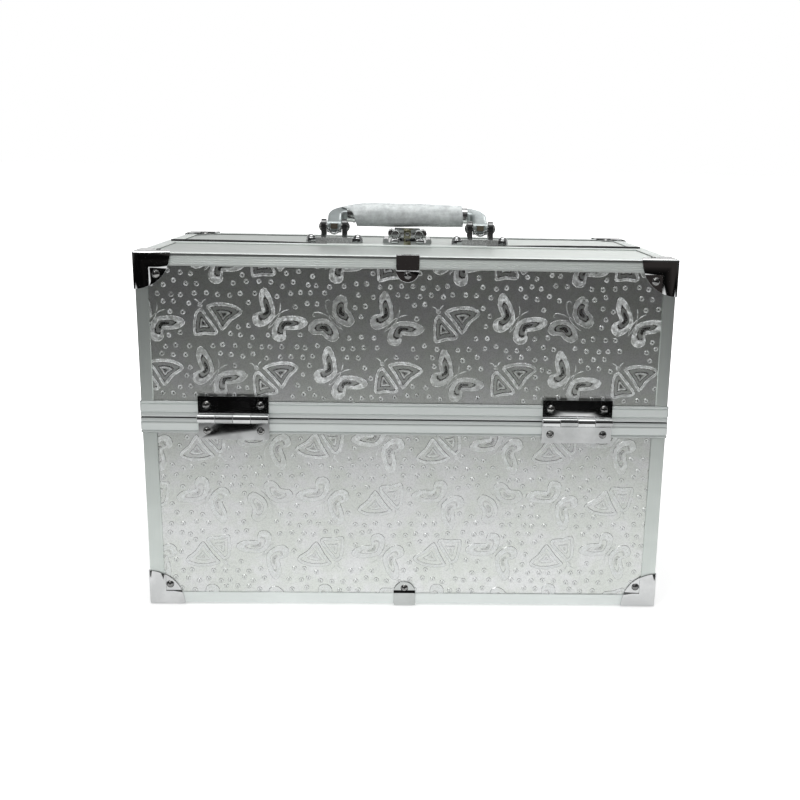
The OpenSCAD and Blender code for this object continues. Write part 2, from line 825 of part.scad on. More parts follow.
// Clear sleeve of film round the grip, open at both ends
module grip_sleeve() {
    half_l = grip_half_l + sleeve_over;
    outer = grip_outline(0.1 + sleeve_t, half_l);
    inner = grip_outline(0.1, half_l);
    color("whitesmoke", 0.6) leaning() translate([0, 0, handle_reach]) rotate([0, 90, 0])
        rotate_extrude() polygon(concat(outer, [for (i = [len(inner) - 1:-1:0]) inner[i]]));
}

// Latch

// Front view of the latch: foot with rolled ends, waisted body and rolled shoulders
module latch_outline() {
    shoulder = latch_w / 2 - roll_r;
    waist = latch_w / 2 - 1.3 * roll_r;
    translate([-latch_foot_w / 2 + roll_r, 0]) square([latch_foot_w - 2 * roll_r, latch_foot_t]);
    for (side = [-1, 1]) {
        translate([side * (latch_foot_w / 2 - roll_r), roll_r * 0.9]) circle(0.9 * roll_r);
        translate([side * shoulder, latch_h - 1.25 * roll_r]) circle(roll_r);
    }
    translate([-waist, 0]) square([2 * waist, latch_h - roll_r]);
    translate([-shoulder + roll_r, latch_h - 2 * roll_r]) square([2 * (shoulder - roll_r), 2 * roll_r]);
}

// Body on the rear lid: bore for the lock, room for its cam, and two round sinkings in the front
module latch_housing() {
    sink_r = 0.3 * latch_h;
    color("silver") difference() {
        translate([0, seam_y + latch_d, lid_z]) rotate([90, 0, 0]) linear_extrude(latch_d) latch_outline();
        translate([0, lock_y, lid_z - 1]) cylinder(r = lock_r + turn_gap, h = latch_h + 2);
        translate([0, lock_y, cam_z - cam_gap]) cylinder(r = cam_l + cam_gap, h = cam_t + 2 * cam_gap);
        for (side = [-1, 1]) translate([side * 0.3 * latch_w, seam_y + sink_d, lid_z + 0.64 * latch_h])
            rotate([90, 0, 0]) cylinder(r = sink_r, h = 2 * sink_d);
    }
}

// The lock's plug, with a slot for the key in its top
module lock_cylinder() {
    top_z = lid_z + latch_h + cam_gap;
    color("gold") translate([0, lock_y, 0]) difference() {
        union() {
            translate([0, 0, cam_z + cam_t]) cylinder(r = lock_r, h = top_z - cam_z - cam_t);
            translate([0, 0, lid_z + cam_gap]) cylinder(r = lock_r / 2, h = latch_h / 2);
        }
        translate([-0.6 * lock_r, -key_slot_w / 2, top_z - key_slot_d])
            cube([1.2 * lock_r, key_slot_w, 2 * key_slot_d]);
    }
}

// The cam turns with the plug and points to the right end until the lock is turned
module lock_cam() {
    color("silver") translate([0, lock_y, cam_z]) difference() {
        linear_extrude(cam_t) {
            circle(lock_r);
            polygon([[0, -lock_r * 0.7], [cam_l, -cam_tip / 2], [cam_l, cam_tip / 2], [0, lock_r * 0.7]]);
        }
        translate([0, 0, -1]) cylinder(r = lock_r / 2, h = cam_t + 2);
    }
}

// Brass strip on the front lid's seam edge; its notch, open to the right, takes the cam
module latch_keeper() {
    left = keeper_edge - keeper_w / 2;
    window_z = lid_z + latch_h - window_in - window_h;
    color("gold") translate([0, -seam_y - keeper_in, 0]) rotate([90, 0, 0])
        linear_extrude(keeper_t) difference() {
            translate([-keeper_w / 2, lid_z]) square([keeper_w, latch_h]);
            translate([left, cam_z - cam_gap]) square([keeper_w, cam_t + 2 * cam_gap]);
            translate([left, window_z]) square([keeper_w - 2 * keeper_edge, window_h]);
        }
}

// Tray bars and trays

module tray_bars() {
    color("silver") both_ends() at_end(bar_x, bar_x + bar_t) translate([-half_d, 0]) translate(foot_at)
        rotate(bar_angle) difference() {
            union() {
                circle(bar_w / 2);
                translate([upper_bar_l, 0]) circle(bar_w / 2);
                translate([0, -bar_w / 2]) square([upper_bar_l, bar_w]);
            }
            for (along = [0, lower_bar_l, upper_bar_l]) translate([along, 0]) circle(tray_pin_r + turn_gap);
            translate([lower_bar_l / 2, 0]) round_rect(bar_slot_l, bar_slot_w, bar_slot_w / 2 - 0.01);
        }
}

// Rivets that hold the trays to the bars, with a head on the bar and one inside the tray
module bar_rivets() {
    inside = tray_half_l - tray_wall - pin_head_t;
    color("darkgray") both_ends() for (arm = [lower_arm, upper_arm]) translate([0, -half_d, 0]) {
        at_end(bar_x + bar_t, bar_x + bar_t + pin_head_t) translate(foot_at + arm) circle(pin_head_r);
        at_end(inside, bar_x + bar_t + pin_head_t / 2) translate(foot_at + arm) circle(tray_pin_r);
        at_end(inside, inside + pin_head_t - rivet_head_gap) translate(foot_at + arm) circle(pin_head_r);
    }
}

// Cross section of a tray with round lower edges, inset by a wall
module tray_section(depth, h, inset, r) {
    low = inset;
    translate([inset, low + r]) square([depth - 2 * inset, h - low - r + inset]);
    translate([inset + r, low]) square([depth - 2 * inset - 2 * r, h - low]);
    for (y = [inset + r, depth - inset - r]) translate([y, low + r]) circle(r);
}

// Outer or inner form of a tray, rounded along its lower edges and at its four corners
module tray_form(depth, h, inset, r) {
    intersection() {
        along_width(2 * (tray_half_l - inset)) tray_section(depth, h, inset, r);
        translate([0, depth / 2, 0]) linear_extrude(h + 2 * tray_wall)
            round_rect(2 * (tray_half_l - inset), depth - 2 * inset, r);
    }
}

// Middle of the divider between two compartments
function divider_x(i, cells) = -tray_half_l + i * 2 * tray_half_l / cells;

// A tray with its outer edge at a distance in from the case's face, and holes for its pins
module tray(tray_in, z, h, arm, cells) {
    depth = tray_inner - tray_in;
    guide_h = h - 2 * tray_wall - tray_r;
    slot = divider_t + 2 * divider_gap;
    color("dimgray") translate([0, -half_d + tray_in, z]) difference() {
        union() {
            difference() {
                tray_form(depth, h, 0, tray_r);
                tray_form(depth, h, tray_wall, tray_r - 1);
            }
            for (i = [1:cells - 1], y = [tray_wall, depth - tray_wall - guide_d], side = [-1, 1])
                translate([divider_x(i, cells) + side * (slot + guide_d) / 2 - guide_d / 2, y,
                    tray_wall + tray_r]) cube([guide_d, guide_d, guide_h]);
        }
        for (pin = [[hinge_at + arm, open_pin_gap], [foot_at + arm, turn_gap]])
            translate([-half_w, pin[0][0] - tray_in, pin[0][1] - z]) rotate([0, 90, 0])
                cylinder(r = tray_pin_r + pin[1], h = case_w);
    }
}

// Loose dividers that stand in the tray's guides
module dividers(tray_in, z, h, cells) {
    depth = tray_inner - tray_in;
    color("gray") for (i = [1:cells - 1])
        translate([divider_x(i, cells) - divider_t / 2, -half_d + tray_in, z])
            rotate([90, 0, 90]) linear_extrude(divider_t) intersection() {
                tray_section(depth, h - 2, tray_wall + divider_gap, tray_r - 1);
                square([depth, h - 2]);
            }
}

module lower_tray() { tray(lower_tray_in, lower_tray_z, lower_tray_h, lower_arm, lower_cells); }
module upper_tray() { tray(upper_tray_in, upper_tray_z, upper_tray_h, upper_arm, upper_cells); }
module lower_dividers() { dividers(lower_tray_in, lower_tray_z, lower_tray_h, lower_cells); }
module upper_dividers() { dividers(upper_tray_in, upper_tray_z, upper_tray_h, upper_cells); }

base_long_boards();
base_end_boards();
base_bottom_board();
base_posts();
base_bottom_rails();
base_rim();
base_corner_plates();
base_clips();
base_rivets();
base_hinge_leaves();
hinge_pins();
base_lining();
bar_pivots();

lid_side_boards();  // front_lid_side_boards
lid_top_board();  // front_lid_top_board
lid_posts();  // front_lid_posts
lid_top_rails();  // front_lid_top_rails
lid_rim();  // front_lid_rim
lid_seam_rail();  // front_lid_seam_rail
lid_corner_plates();  // front_lid_corner_plates
lid_clip();  // front_lid_clip
lid_hinge_leaves();  // front_lid_hinge_leaves
lid_rivets();  // front_lid_rivets
lid_lining();  // front_lid_lining
lid_tray_pins();  // front_lid_tray_pins
latch_keeper();

to_rear() lid_side_boards();  // rear_lid_side_boards
to_rear() lid_top_board();  // rear_lid_top_board
to_rear() lid_posts();  // rear_lid_posts
to_rear() lid_top_rails();  // rear_lid_top_rails
to_rear() lid_rim();  // rear_lid_rim
to_rear() lid_seam_rail();  // rear_lid_seam_rail
to_rear() lid_corner_plates();  // rear_lid_corner_plates
to_rear() lid_clip();  // rear_lid_clip
to_rear() lid_hinge_leaves();  // rear_lid_hinge_leaves
to_rear() lid_rivets();  // rear_lid_rivets
to_rear() lid_lining();  // rear_lid_lining
to_rear() lid_tray_pins();  // rear_lid_tray_pins
handle_brackets();
latch_housing();
lock_cylinder();
lock_cam();
handle_pins();
handle_arms();
handle_ferrules();
grip();
grip_sleeve();

tray_bars();  // front_tray_bars
bar_rivets();  // front_bar_rivets
to_rear() tray_bars();  // rear_tray_bars
to_rear() bar_rivets();  // rear_bar_rivets
lower_tray();  // front_lower_tray
upper_tray();  // front_upper_tray
to_rear() lower_tray();  // rear_lower_tray
to_rear() upper_tray();  // rear_upper_tray
lower_dividers();  // front_lower_dividers
upper_dividers();  // front_upper_dividers
to_rear() lower_dividers();  // rear_lower_dividers
to_rear() upper_dividers();  // rear_upper_dividers
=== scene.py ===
import json
import math

import bmesh
import bpy
import numpy as np
from mathutils import Matrix, Vector


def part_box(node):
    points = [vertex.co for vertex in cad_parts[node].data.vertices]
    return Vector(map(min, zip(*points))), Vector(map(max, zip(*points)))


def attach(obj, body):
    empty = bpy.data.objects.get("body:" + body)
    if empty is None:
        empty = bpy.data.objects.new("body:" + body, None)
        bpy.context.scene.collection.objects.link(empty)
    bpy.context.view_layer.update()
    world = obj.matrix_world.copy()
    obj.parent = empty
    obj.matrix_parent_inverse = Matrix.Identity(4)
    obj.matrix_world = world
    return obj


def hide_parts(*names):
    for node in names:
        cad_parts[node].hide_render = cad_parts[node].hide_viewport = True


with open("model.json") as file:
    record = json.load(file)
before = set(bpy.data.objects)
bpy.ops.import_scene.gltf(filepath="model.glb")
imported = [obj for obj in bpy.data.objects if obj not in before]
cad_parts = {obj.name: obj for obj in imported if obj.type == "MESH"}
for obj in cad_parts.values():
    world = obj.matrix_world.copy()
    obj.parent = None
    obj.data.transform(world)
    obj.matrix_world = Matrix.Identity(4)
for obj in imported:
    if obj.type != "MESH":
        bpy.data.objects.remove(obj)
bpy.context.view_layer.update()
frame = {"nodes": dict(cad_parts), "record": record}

mm = 0.001
nodes = frame["nodes"]


def nodeBox(name):
    # A node's lowest and highest corners as two arrays, in metres.
    low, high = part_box(name)
    return np.array(low), np.array(high)


# camera
view = dict(place=(-0.0044, -0.8998, 0.3068), pitch=16.10, yaw=2.08, roll=1.10,
            focal=1174.0, photoWidth=800.0, sensor=36.0, centre=(440.0, 500.0))


def makeCamera(v):
    # Forward, right and up from yaw, pitch and roll; the shift is the photo's centre minus the optical axis.
    pitch, yaw, roll = (math.radians(v[k]) for k in ("pitch", "yaw", "roll"))
    forward = Vector((math.sin(yaw) * math.cos(pitch), math.cos(yaw) * math.cos(pitch), -math.sin(pitch)))
    right = Vector((math.cos(yaw), -math.sin(yaw), 0.0))
    up = right.cross(forward)
    rightR = right * math.cos(roll) + up * math.sin(roll)
    upR = up * math.cos(roll) - right * math.sin(roll)
    data = bpy.data.cameras.new("camera")
    data.sensor_width = v["sensor"]
    data.lens = v["focal"] / v["photoWidth"] * v["sensor"]
    data.shift_x = (v["photoWidth"] / 2 - v["centre"][0]) / v["photoWidth"]
    data.shift_y = (v["centre"][1] - v["photoWidth"] / 2) / v["photoWidth"]
    camera = bpy.data.objects.new("camera", data)
    turn = Matrix((rightR, upR, -forward)).transposed().to_4x4()
    camera.matrix_world = Matrix.Translation(v["place"]) @ turn
    bpy.context.scene.collection.objects.link(camera)
    bpy.context.scene.camera = camera


makeCamera(view)
print("stage: camera placed")


# shader helpers
def newTree(name):
    # An empty material: itself, its tree, its Principled shader and the Object coordinates.
    m = bpy.data.materials.new(name)
    m.use_nodes = True
    t = m.node_tree
    t.nodes.clear()
    out = t.nodes.new("ShaderNodeOutputMaterial")
    p = t.nodes.new("ShaderNodeBsdfPrincipled")
    t.links.new(p.outputs["BSDF"], out.inputs["Surface"])
    return m, t, p, t.nodes.new("ShaderNodeTexCoord").outputs["Object"]


def plug(t, value, socket):
    # A socket takes another node's output as a link, or a plain value.
    if isinstance(value, bpy.types.NodeSocket):
        t.links.new(value, socket)
    else:
        socket.default_value = value


def put(t, kind, **values):
    # A node with its inputs or properties set by name.
    n = t.nodes.new(kind)
    for k, v in values.items():
        if k in n.inputs:
            plug(t, v, n.inputs[k])
        else:
            setattr(n, k, v)
    return n


def feed(t, n, *values):
    # Values or links into a node's inputs in order; its first output.
    for value, socket in zip(values, n.inputs):
        plug(t, value, socket)
    return n.outputs[0]


def calc(t, operation, *values):
    return feed(t, put(t, "ShaderNodeMath", operation=operation), *values)


def calcVector(t, operation, *values):
    return feed(t, put(t, "ShaderNodeVectorMath", operation=operation), *values)


def spread(t, value, start, end, low=0.0, high=1.0, kind="LINEAR"):
    # Map Range: start to end becomes low to high.
    return feed(t, put(t, "ShaderNodeMapRange", interpolation_type=kind), value, start, end, low, high)


def blend(t, kind, factor, a, b):
    # A mix of two colours by its blend type.
    n = put(t, "ShaderNodeMix", data_type="RGBA", blend_type=kind, Factor=factor, A=a, B=b)
    return n.outputs["Result"]


def noise(t, at, scale, detail=2.0, roughness=0.5):
    n = put(t, "ShaderNodeTexNoise", Vector=at, Scale=scale, Detail=detail, Roughness=roughness)
    return n.outputs["Fac"]


def cells(t, at, scale, **more):
    return put(t, "ShaderNodeTexVoronoi", Vector=at, Scale=scale, **more).outputs["Distance"]


def axis(t, at, label):
    return put(t, "ShaderNodeSeparateXYZ", Vector=at).outputs[label]


def ramp(t, source, stops):
    # A colour ramp from (place, grey or colour) stops.
    r = t.nodes.new("ShaderNodeValToRGB")
    e = r.color_ramp.elements
    while len(e) < len(stops):
        e.new(0.5)
    for item, (place, value) in zip(e, stops):
        item.position = place
        item.color = tuple(value) + (1.0,) if hasattr(value, "__len__") else (value, value, value, 1.0)
    t.links.new(source, r.inputs["Fac"])
    return r.outputs["Color"]


def makeGroup(name, inputs, outputs, build):
    # A shader node group with named sockets; build(tree, inputNode, outputNode) fills it.
    g = bpy.data.node_groups.new(name, "ShaderNodeTree")
    for label, kind, default in inputs:
        s = g.interface.new_socket(name=label, in_out="INPUT", socket_type=kind)
        if default is not None:
            s.default_value = default
    for label, kind in outputs:
        g.interface.new_socket(name=label, in_out="OUTPUT", socket_type=kind)
    build(g, g.nodes.new("NodeGroupInput"), g.nodes.new("NodeGroupOutput"))
    return g


def buildGrain(g, gin, gout):
    # Drawn or brushed metal: noise on coordinates that are stretched along the grain.
    place = calcVector(g, "MULTIPLY", gin.outputs["Vector"], gin.outputs["Stretch"])
    g.links.new(noise(g, place, 1.0, 4.0, 0.65), gout.inputs["Streak"])


def buildSpots(g, gin, gout):
    # Handling marks: soft noise, spread to a mask from 0 to 1.
    soft = noise(g, gin.outputs["Vector"], gin.outputs["Scale"], 3.0, 0.6)
    g.links.new(spread(g, soft, 0.38, 0.68), gout.inputs["Mask"])


grainGroup = makeGroup("drawnGrain", [("Vector", "NodeSocketVector", None),
                                      ("Stretch", "NodeSocketVector", (40.0, 40.0, 1500.0))],
                       [("Streak", "NodeSocketFloat")], buildGrain)
spotsGroup = makeGroup("handlingMarks", [("Vector", "NodeSocketVector", None),
                                         ("Scale", "NodeSocketFloat", 30.0)],
                       [("Mask", "NodeSocketFloat")], buildSpots)


def useGroup(t, group, at, **values):
    # A shared group on coordinates, its one output.
    n = t.nodes.new("ShaderNodeGroup")
    n.node_tree = group
    t.links.new(at, n.inputs["Vector"])
    for k, v in values.items():
        n.inputs[k].default_value = v
    return n.outputs[0]


def addBump(t, p, height, distance, below=None):
    # A Bump node into the shader's Normal, chained on another one where given.
    b = put(t, "ShaderNodeBump", Strength=1.0, Distance=distance, Height=height)
    if below is not None:
        t.links.new(below, b.inputs["Normal"])
    t.links.new(b.outputs["Normal"], p.inputs["Normal"])
    return b.outputs["Normal"]


def addEtching(t, p, at, colour, rough, e):
    # Frost and dark contours over the inset attribute: 0 at a motif's rim, 1 in its middle. Noise blurs both.
    inset, tone = (put(t, "ShaderNodeAttribute", attribute_name=k).outputs["Fac"] for k in ("inset", "tone"))
    scale, reach = e["fuzz"]
    fuzz = calc(t, "MULTIPLY_ADD", noise(t, at, scale, 3.0, 0.7), reach, -reach / 2)
    depth = calc(t, "ADD", inset, fuzz)
    crystals = cells(t, at, e["crystal"], feature="SMOOTH_F1")
    frost = ramp(t, depth, e["frost"])
    for factor in (tone, ramp(t, crystals, [(0.15, 1.0), (0.6, e["least"])]),
                   ramp(t, noise(t, at, e["cloud"][0]), [(0.35, e["cloud"][1]), (0.62, 1.0)])):
        frost = calc(t, "MULTIPLY", frost, factor)
    contour = ramp(t, depth, e["contour"])
    shaded = blend(t, "MULTIPLY", e["tint"], colour, contour)
    t.links.new(blend(t, "MIX", frost, shaded, e["colour"] + (1.0,)), p.inputs["Base Color"])
    for label, start, end in (("Roughness", calc(t, "MULTIPLY", rough, contour), e["rough"]),
                              ("Metallic", 1.0, e["metallic"])):
        mixed = put(t, "ShaderNodeMix", Factor=frost, A=start, B=end)
        t.links.new(mixed.outputs["Result"], p.inputs[label])
    scale, height = e["stipple"]
    return addBump(t, p, calc(t, "MULTIPLY", noise(t, at, scale, 1.0), frost), height)


def shadeByHeight(t, at, colour, shadeBands):
    # Painted shade: multiplies a colour by a ramp over height; the rows are (height in mm, factor), lowest
    # first.
    low, high = shadeBands[0][0], shadeBands[-1][0]
    level = spread(t, axis(t, at, "Z"), low * mm, high * mm)
    stops = [((z - low) / (high - low), factor) for z, factor in shadeBands]
    return blend(t, "MULTIPLY", 1.0, colour, ramp(t, level, stops))


marksShare, streakShare = 0.35, 0.65


def metal(name, dark, light, rough, grain=None, grainDepth=0.0, metallic=1.0, marks=30.0,
          wave=None, speckle=None, etched=None, shadeBands=None, lean=None, fleck=None):
    # Metal whose colour and roughness vary by grain and handling marks. wave and speckle are (scale, depth)
    # bumps, fleck is the (scale, darkest factor) of dots, lean the slopes of the left and right halves.
    m, t, p, at = newTree(name)
    p.inputs["Metallic"].default_value = metallic
    mask = useGroup(t, spotsGroup, at, Scale=marks)
    normal = None
    if grain is not None:
        streak = useGroup(t, grainGroup, at, Stretch=grain)
        normal = addBump(t, p, streak, grainDepth)
        mask = calc(t, "MULTIPLY_ADD", mask, marksShare, calc(t, "MULTIPLY", streak, streakShare))
    colour = ramp(t, mask, [(0.15, dark), (0.75, light)])
    # painted shade: where given, height bands darken the colour
    if shadeBands is not None:
        colour = shadeByHeight(t, at, colour, shadeBands)
    if fleck is not None:
        dots = ramp(t, noise(t, at, fleck[0], 1.0), [(0.35, fleck[1]), (0.6, 1.0)])
        colour = blend(t, "MULTIPLY", 1.0, colour, dots)
    roughness = ramp(t, mask, [(0.15, rough[1]), (0.8, rough[0])])
    t.links.new(colour, p.inputs["Base Color"])
    t.links.new(roughness, p.inputs["Roughness"])
    if etched is not None:
        normal = addEtching(t, p, at, colour, roughness, etched)
    for bump in (wave, speckle):
        if bump is not None:
            normal = addBump(t, p, noise(t, at, bump[0]), bump[1], normal)
    if lean is not None:
        # a height that grows with Z makes the metal face a little down
        slope = spread(t, axis(t, at, "X"), -0.01, 0.01, *lean)
        addBump(t, p, calc(t, "MULTIPLY", axis(t, at, "Z"), slope), 1.0, normal)
    return m


# painted shade: the split's dark line with duller bands beside it and darker edges on the rims, the painted
# shadow of the groove under the top rails' top edge; and a level grain
rimPaintedShade = ((124.9, 0.6), (126.0, 0.62), (127.2, 0.98), (131.2, 1.0), (131.9, 0.8), (133.4, 0.68),
            (134.6, 0.77), (135.2, 0.8), (135.35, 0.03), (136.0, 0.03), (136.15, 0.6), (137.6, 0.8),
            (138.6, 0.94), (139.6, 0.96), (144.0, 0.96), (145.4, 0.85), (146.2, 0.8), (147.1, 0.6))
# painted shadow of the groove under the rails' top edge, and a darker foot
railPaintedShade = ((237.4, 0.5), (238.2, 0.95), (243.4, 0.95), (244.0, 0.75), (244.5, 0.16), (245.4, 0.16),
             (245.75, 0.9), (246.5, 1.0))
levelGrain = dict(grain=(30.0, 30.0, 2500.0), grainDepth=0.00001)
finishes = dict(
    sheet=dict(dark=(0.737, 0.767, 0.732), light=(0.785, 0.80, 0.797), rough=(0.31, 0.32), marks=60.0,
               speckle=(1500.0, 0.00006), fleck=(1500.0, 0.86)),
    topSheet=dict(dark=(0.75, 0.79, 0.76), light=(0.78, 0.82, 0.79), rough=(0.38, 0.42), marks=90.0,
                  speckle=(1400.0, 0.00004)),
    # painted light: frameLevel, rim, topRail and seamRail are the frame's aluminium made lighter and less
    # metallic than framePost
    frameLevel=dict(dark=(0.84, 0.89, 0.87), light=(0.90, 0.95, 0.93), rough=(0.34, 0.42), metallic=0.5,
                    **levelGrain),
    rim=dict(dark=(0.86, 0.91, 0.89), light=(0.92, 0.97, 0.95), rough=(0.34, 0.42), metallic=0.5,
             shadeBands=rimPaintedShade, **levelGrain),
    topRail=dict(dark=(0.86, 0.91, 0.88), light=(0.93, 0.98, 0.95), rough=(0.30, 0.38), metallic=0.55,
                 shadeBands=railPaintedShade, **levelGrain),
    seamRail=dict(dark=(0.82, 0.87, 0.84), light=(0.90, 0.95, 0.92), rough=(0.34, 0.42), metallic=0.4,
                  grain=(30.0, 2500.0, 2500.0), grainDepth=0.00001),
    framePost=dict(dark=(0.66, 0.71, 0.68), light=(0.74, 0.79, 0.76), rough=(0.34, 0.42), metallic=0.9,
                   grain=(2200.0, 2200.0, 25.0), grainDepth=0.00002),
    chrome=dict(dark=(0.60, 0.61, 0.61), light=(0.68, 0.69, 0.69), rough=(0.05, 0.08), marks=60.0,
                wave=(25.0, 0.00006)),
    # painted dark reflection: the base's hinge leaves are chrome made darker; lean is a bump
    leaf=dict(dark=(0.42, 0.43, 0.43), light=(0.50, 0.51, 0.51), rough=(0.07, 0.12), marks=60.0,
              wave=(25.0, 0.00006), lean=(0.012, 0.16)),
    # painted dark reflection: the brackets and their knobs are chrome made darker, and the bands paint the
    # ears' tops darker still
    bracket=dict(dark=(0.42, 0.43, 0.43), light=(0.54, 0.55, 0.55), rough=(0.08, 0.14), marks=90.0,
                 wave=(60.0, 0.00006),
                 shadeBands=((246.0, 1.0), (256.0, 1.0), (259.0, 0.5), (262.0, 0.3), (264.0, 0.45))),
    # painted dark reflection: the base's clips are chrome made darker, with a near black band painted as the
    # joggle's shade
    clip=dict(dark=(0.46, 0.48, 0.47), light=(0.52, 0.54, 0.53), rough=(0.05, 0.08), marks=60.0,
              shadeBands=((0.0, 1.0), (9.2, 1.0), (9.5, 0.02), (11.0, 0.02), (11.4, 1.0), (20.0, 1.0))),
    # painted dark reflection: the chrome rivets and pins are made dark
    rivet=dict(dark=(0.20, 0.20, 0.20), light=(0.36, 0.36, 0.35), rough=(0.10, 0.2), marks=150.0),
    steel=dict(dark=(0.42, 0.42, 0.43), light=(0.62, 0.62, 0.63), rough=(0.22, 0.34), marks=80.0),
    barSteel=dict(dark=(0.46, 0.47, 0.48), light=(0.66, 0.67, 0.68), rough=(0.25, 0.36),
                  grain=(400.0, 400.0, 1600.0), grainDepth=0.00002),
    brass=dict(dark=(0.26, 0.25, 0.16), light=(0.60, 0.58, 0.42), rough=(0.14, 0.24), marks=350.0),
    handle=dict(dark=(0.42, 0.46, 0.46), light=(0.52, 0.57, 0.57), rough=(0.3, 0.38), metallic=0.7,
                marks=70.0),
)
etching = dict(fuzz=(900.0, 0.07), crystal=1100.0, least=0.35, cloud=(340.0, 0.28), stipple=(2400.0, 0.00012),
               frost=[(0.0, 0.05), (0.04, 0.2), (0.08, 1.0), (0.14, 1.0), (0.2, 0.6), (0.32, 0.65),
                      (0.39, 1.0), (0.43, 0.9), (0.48, 0.06), (0.62, 0.0), (0.69, 0.1), (0.74, 0.6),
                      (0.80, 0.5), (0.92, 0.5)],
               contour=[(0.0, 0.5), (0.06, 0.7), (0.1, 1.0), (0.44, 1.0), (0.48, 0.45), (0.52, 1.0),
                        (0.6, 1.0), (0.64, 0.5), (0.68, 0.9), (0.72, 1.0), (0.8, 0.9)],
               tint=0.8, colour=(0.96, 0.99, 0.99), rough=0.5, metallic=0.1)
finishes["pattern"] = dict(finishes["sheet"], etched=etching)
look = {k: metal(k, **v) for k, v in finishes.items()}


def plastic(name, colour, lift, rough, grainScale, grainDepth):
    # Moulded plastic with a fine spark-eroded grain.
    m, t, p, at = newTree(name)
    mask = useGroup(t, spotsGroup, at, Scale=50.0)
    t.links.new(ramp(t, mask, [(0.1, colour), (0.9, lift)]), p.inputs["Base Color"])
    t.links.new(ramp(t, mask, [(0.1, rough), (0.9, rough * 0.85)]), p.inputs["Roughness"])
    addBump(t, p, cells(t, at, grainScale, feature="SMOOTH_F1"), grainDepth)
    return m


plastics = dict(
    tray=((0.030, 0.030, 0.033), (0.045, 0.045, 0.048), 0.5, 900.0, 0.00012),
    divider=((0.05, 0.05, 0.055), (0.07, 0.07, 0.075), 0.46, 900.0, 0.0001),
    gripCover=((0.66, 0.69, 0.71), (0.76, 0.79, 0.81), 0.32, 700.0, 0.00008),
    bottomBoard=((0.04, 0.04, 0.042), (0.07, 0.07, 0.072), 0.6, 500.0, 0.0002),
    # black for the seam's lip and strips, which stand in for the shade in the gap between the lids
    seamShade=((0.015, 0.015, 0.016), (0.03, 0.03, 0.03), 0.55, 900.0, 0.0001),
    bush=((0.07, 0.055, 0.04), (0.12, 0.10, 0.07), 0.4, 900.0, 0.0001),
)
look.update({k: plastic(k, *v) for k, v in plastics.items()})


def flock(name, colour, lift):
    # Short flocked pile: fine noise bump, soft mottling where the pile is brushed, and sheen.
    m, t, p, at = newTree(name)
    mask = useGroup(t, spotsGroup, at, Scale=18.0)
    t.links.new(ramp(t, mask, [(0.1, colour), (0.9, lift)]), p.inputs["Base Color"])
    p.inputs["Roughness"].default_value = 0.9
    p.inputs["Sheen Weight"].default_value = 0.35
    p.inputs["Sheen Roughness"].default_value = 0.5
    addBump(t, p, noise(t, at, 2200.0), 0.0004)
    return m


filmLook = dict(foot=0.2575, top=0.2755, paintedShade=(0.68, 1.16), alpha=[(0.3, 0.7), (0.6, 0.95)], rough=0.24,
                tones=[(0.34, (0.75, 0.78, 0.79)), (0.5, (0.79, 0.83, 0.83)), (0.66, (0.83, 0.87, 0.87))],
                crease=(60.0, 420.0, 420.0))


def film(name, w):
    # Milky wrap film: partly see-through, soft gloss, clouded where it lies on the grip, with painted shade
    # below and painted light on top.
    m, t, p, at = newTree(name)
    cloud = noise(t, at, 150.0, 6.0, 0.68)
    # painted shade and light: the colour is scaled from darker at the film's foot to lighter at its top
    level = spread(t, axis(t, at, "Z"), w["foot"], w["top"], *w["paintedShade"])
    paintedShade = put(t, "ShaderNodeVectorMath", operation="SCALE", Vector=ramp(t, cloud, w["tones"]), Scale=level)
    t.links.new(paintedShade.outputs[0], p.inputs["Base Color"])
    t.links.new(ramp(t, cloud, w["alpha"]), p.inputs["Alpha"])
    p.inputs["Roughness"].default_value = w["rough"]
    p.inputs["IOR"].default_value = 1.5
    addBump(t, p, useGroup(t, grainGroup, at, Stretch=w["crease"]), 0.0005)
    return m


def knurl(name):
    # Chrome with small raised cells.
    m, t, p, at = newTree(name)
    p.inputs["Metallic"].default_value = 1.0
    boss = cells(t, at, 900.0, feature="F1", Randomness=0.35)
    t.links.new(ramp(t, boss, [(0.0, 0.9), (0.6, 0.45)]), p.inputs["Base Color"])
    p.inputs["Roughness"].default_value = 0.48
    addBump(t, p, boss, 0.0006)
    return m


look["lining"] = flock("lining", (0.020, 0.020, 0.023), (0.05, 0.05, 0.056))
look["film"] = film("film", filmLook)
look["knurl"] = knurl("knurl")
print("stage: materials made")


# CAD nodes and their finishes
def lids(*kinds):
    # The names of both lids' nodes of each kind.
    return [f"{end}_lid_{kind}" for kind in kinds for end in ("front", "rear")]


def trays(kind):
    return [f"{end}_{level}_{kind}" for end in ("front", "rear") for level in ("lower", "upper")]


nodeFinish = {
    "sheet": ["base_long_boards", "base_end_boards"] + lids("side_boards"),
    "topSheet": lids("top_board"),
    "bottomBoard": ["base_bottom_board"],
    "lining": ["base_lining"] + lids("lining"),
    "frameLevel": ["base_bottom_rails"],
    "rim": ["base_rim"] + lids("rim"),
    "topRail": lids("top_rails"),
    "seamRail": lids("seam_rail"),
    "framePost": ["base_posts"] + lids("posts"),
    "leaf": ["base_hinge_leaves"],
    "clip": ["base_clips"],
    "chrome": ["base_corner_plates", "latch_housing", "handle_ferrules"]
              + lids("clip", "corner_plates", "hinge_leaves"),
    "bracket": ["handle_brackets"],
    "rivet": ["base_rivets", "handle_pins"] + lids("rivets"),
    "steel": ["hinge_pins", "bar_pivots", "front_bar_rivets", "rear_bar_rivets", "lock_cam"]
             + lids("tray_pins"),
    "barSteel": ["front_tray_bars", "rear_tray_bars"],
    "brass": ["latch_keeper", "lock_cylinder"],
    "handle": ["handle_arms"],
    "gripCover": ["grip"],
    "film": ["grip_sleeve"],
    "tray": trays("tray"),
    "divider": trays("dividers"),
}


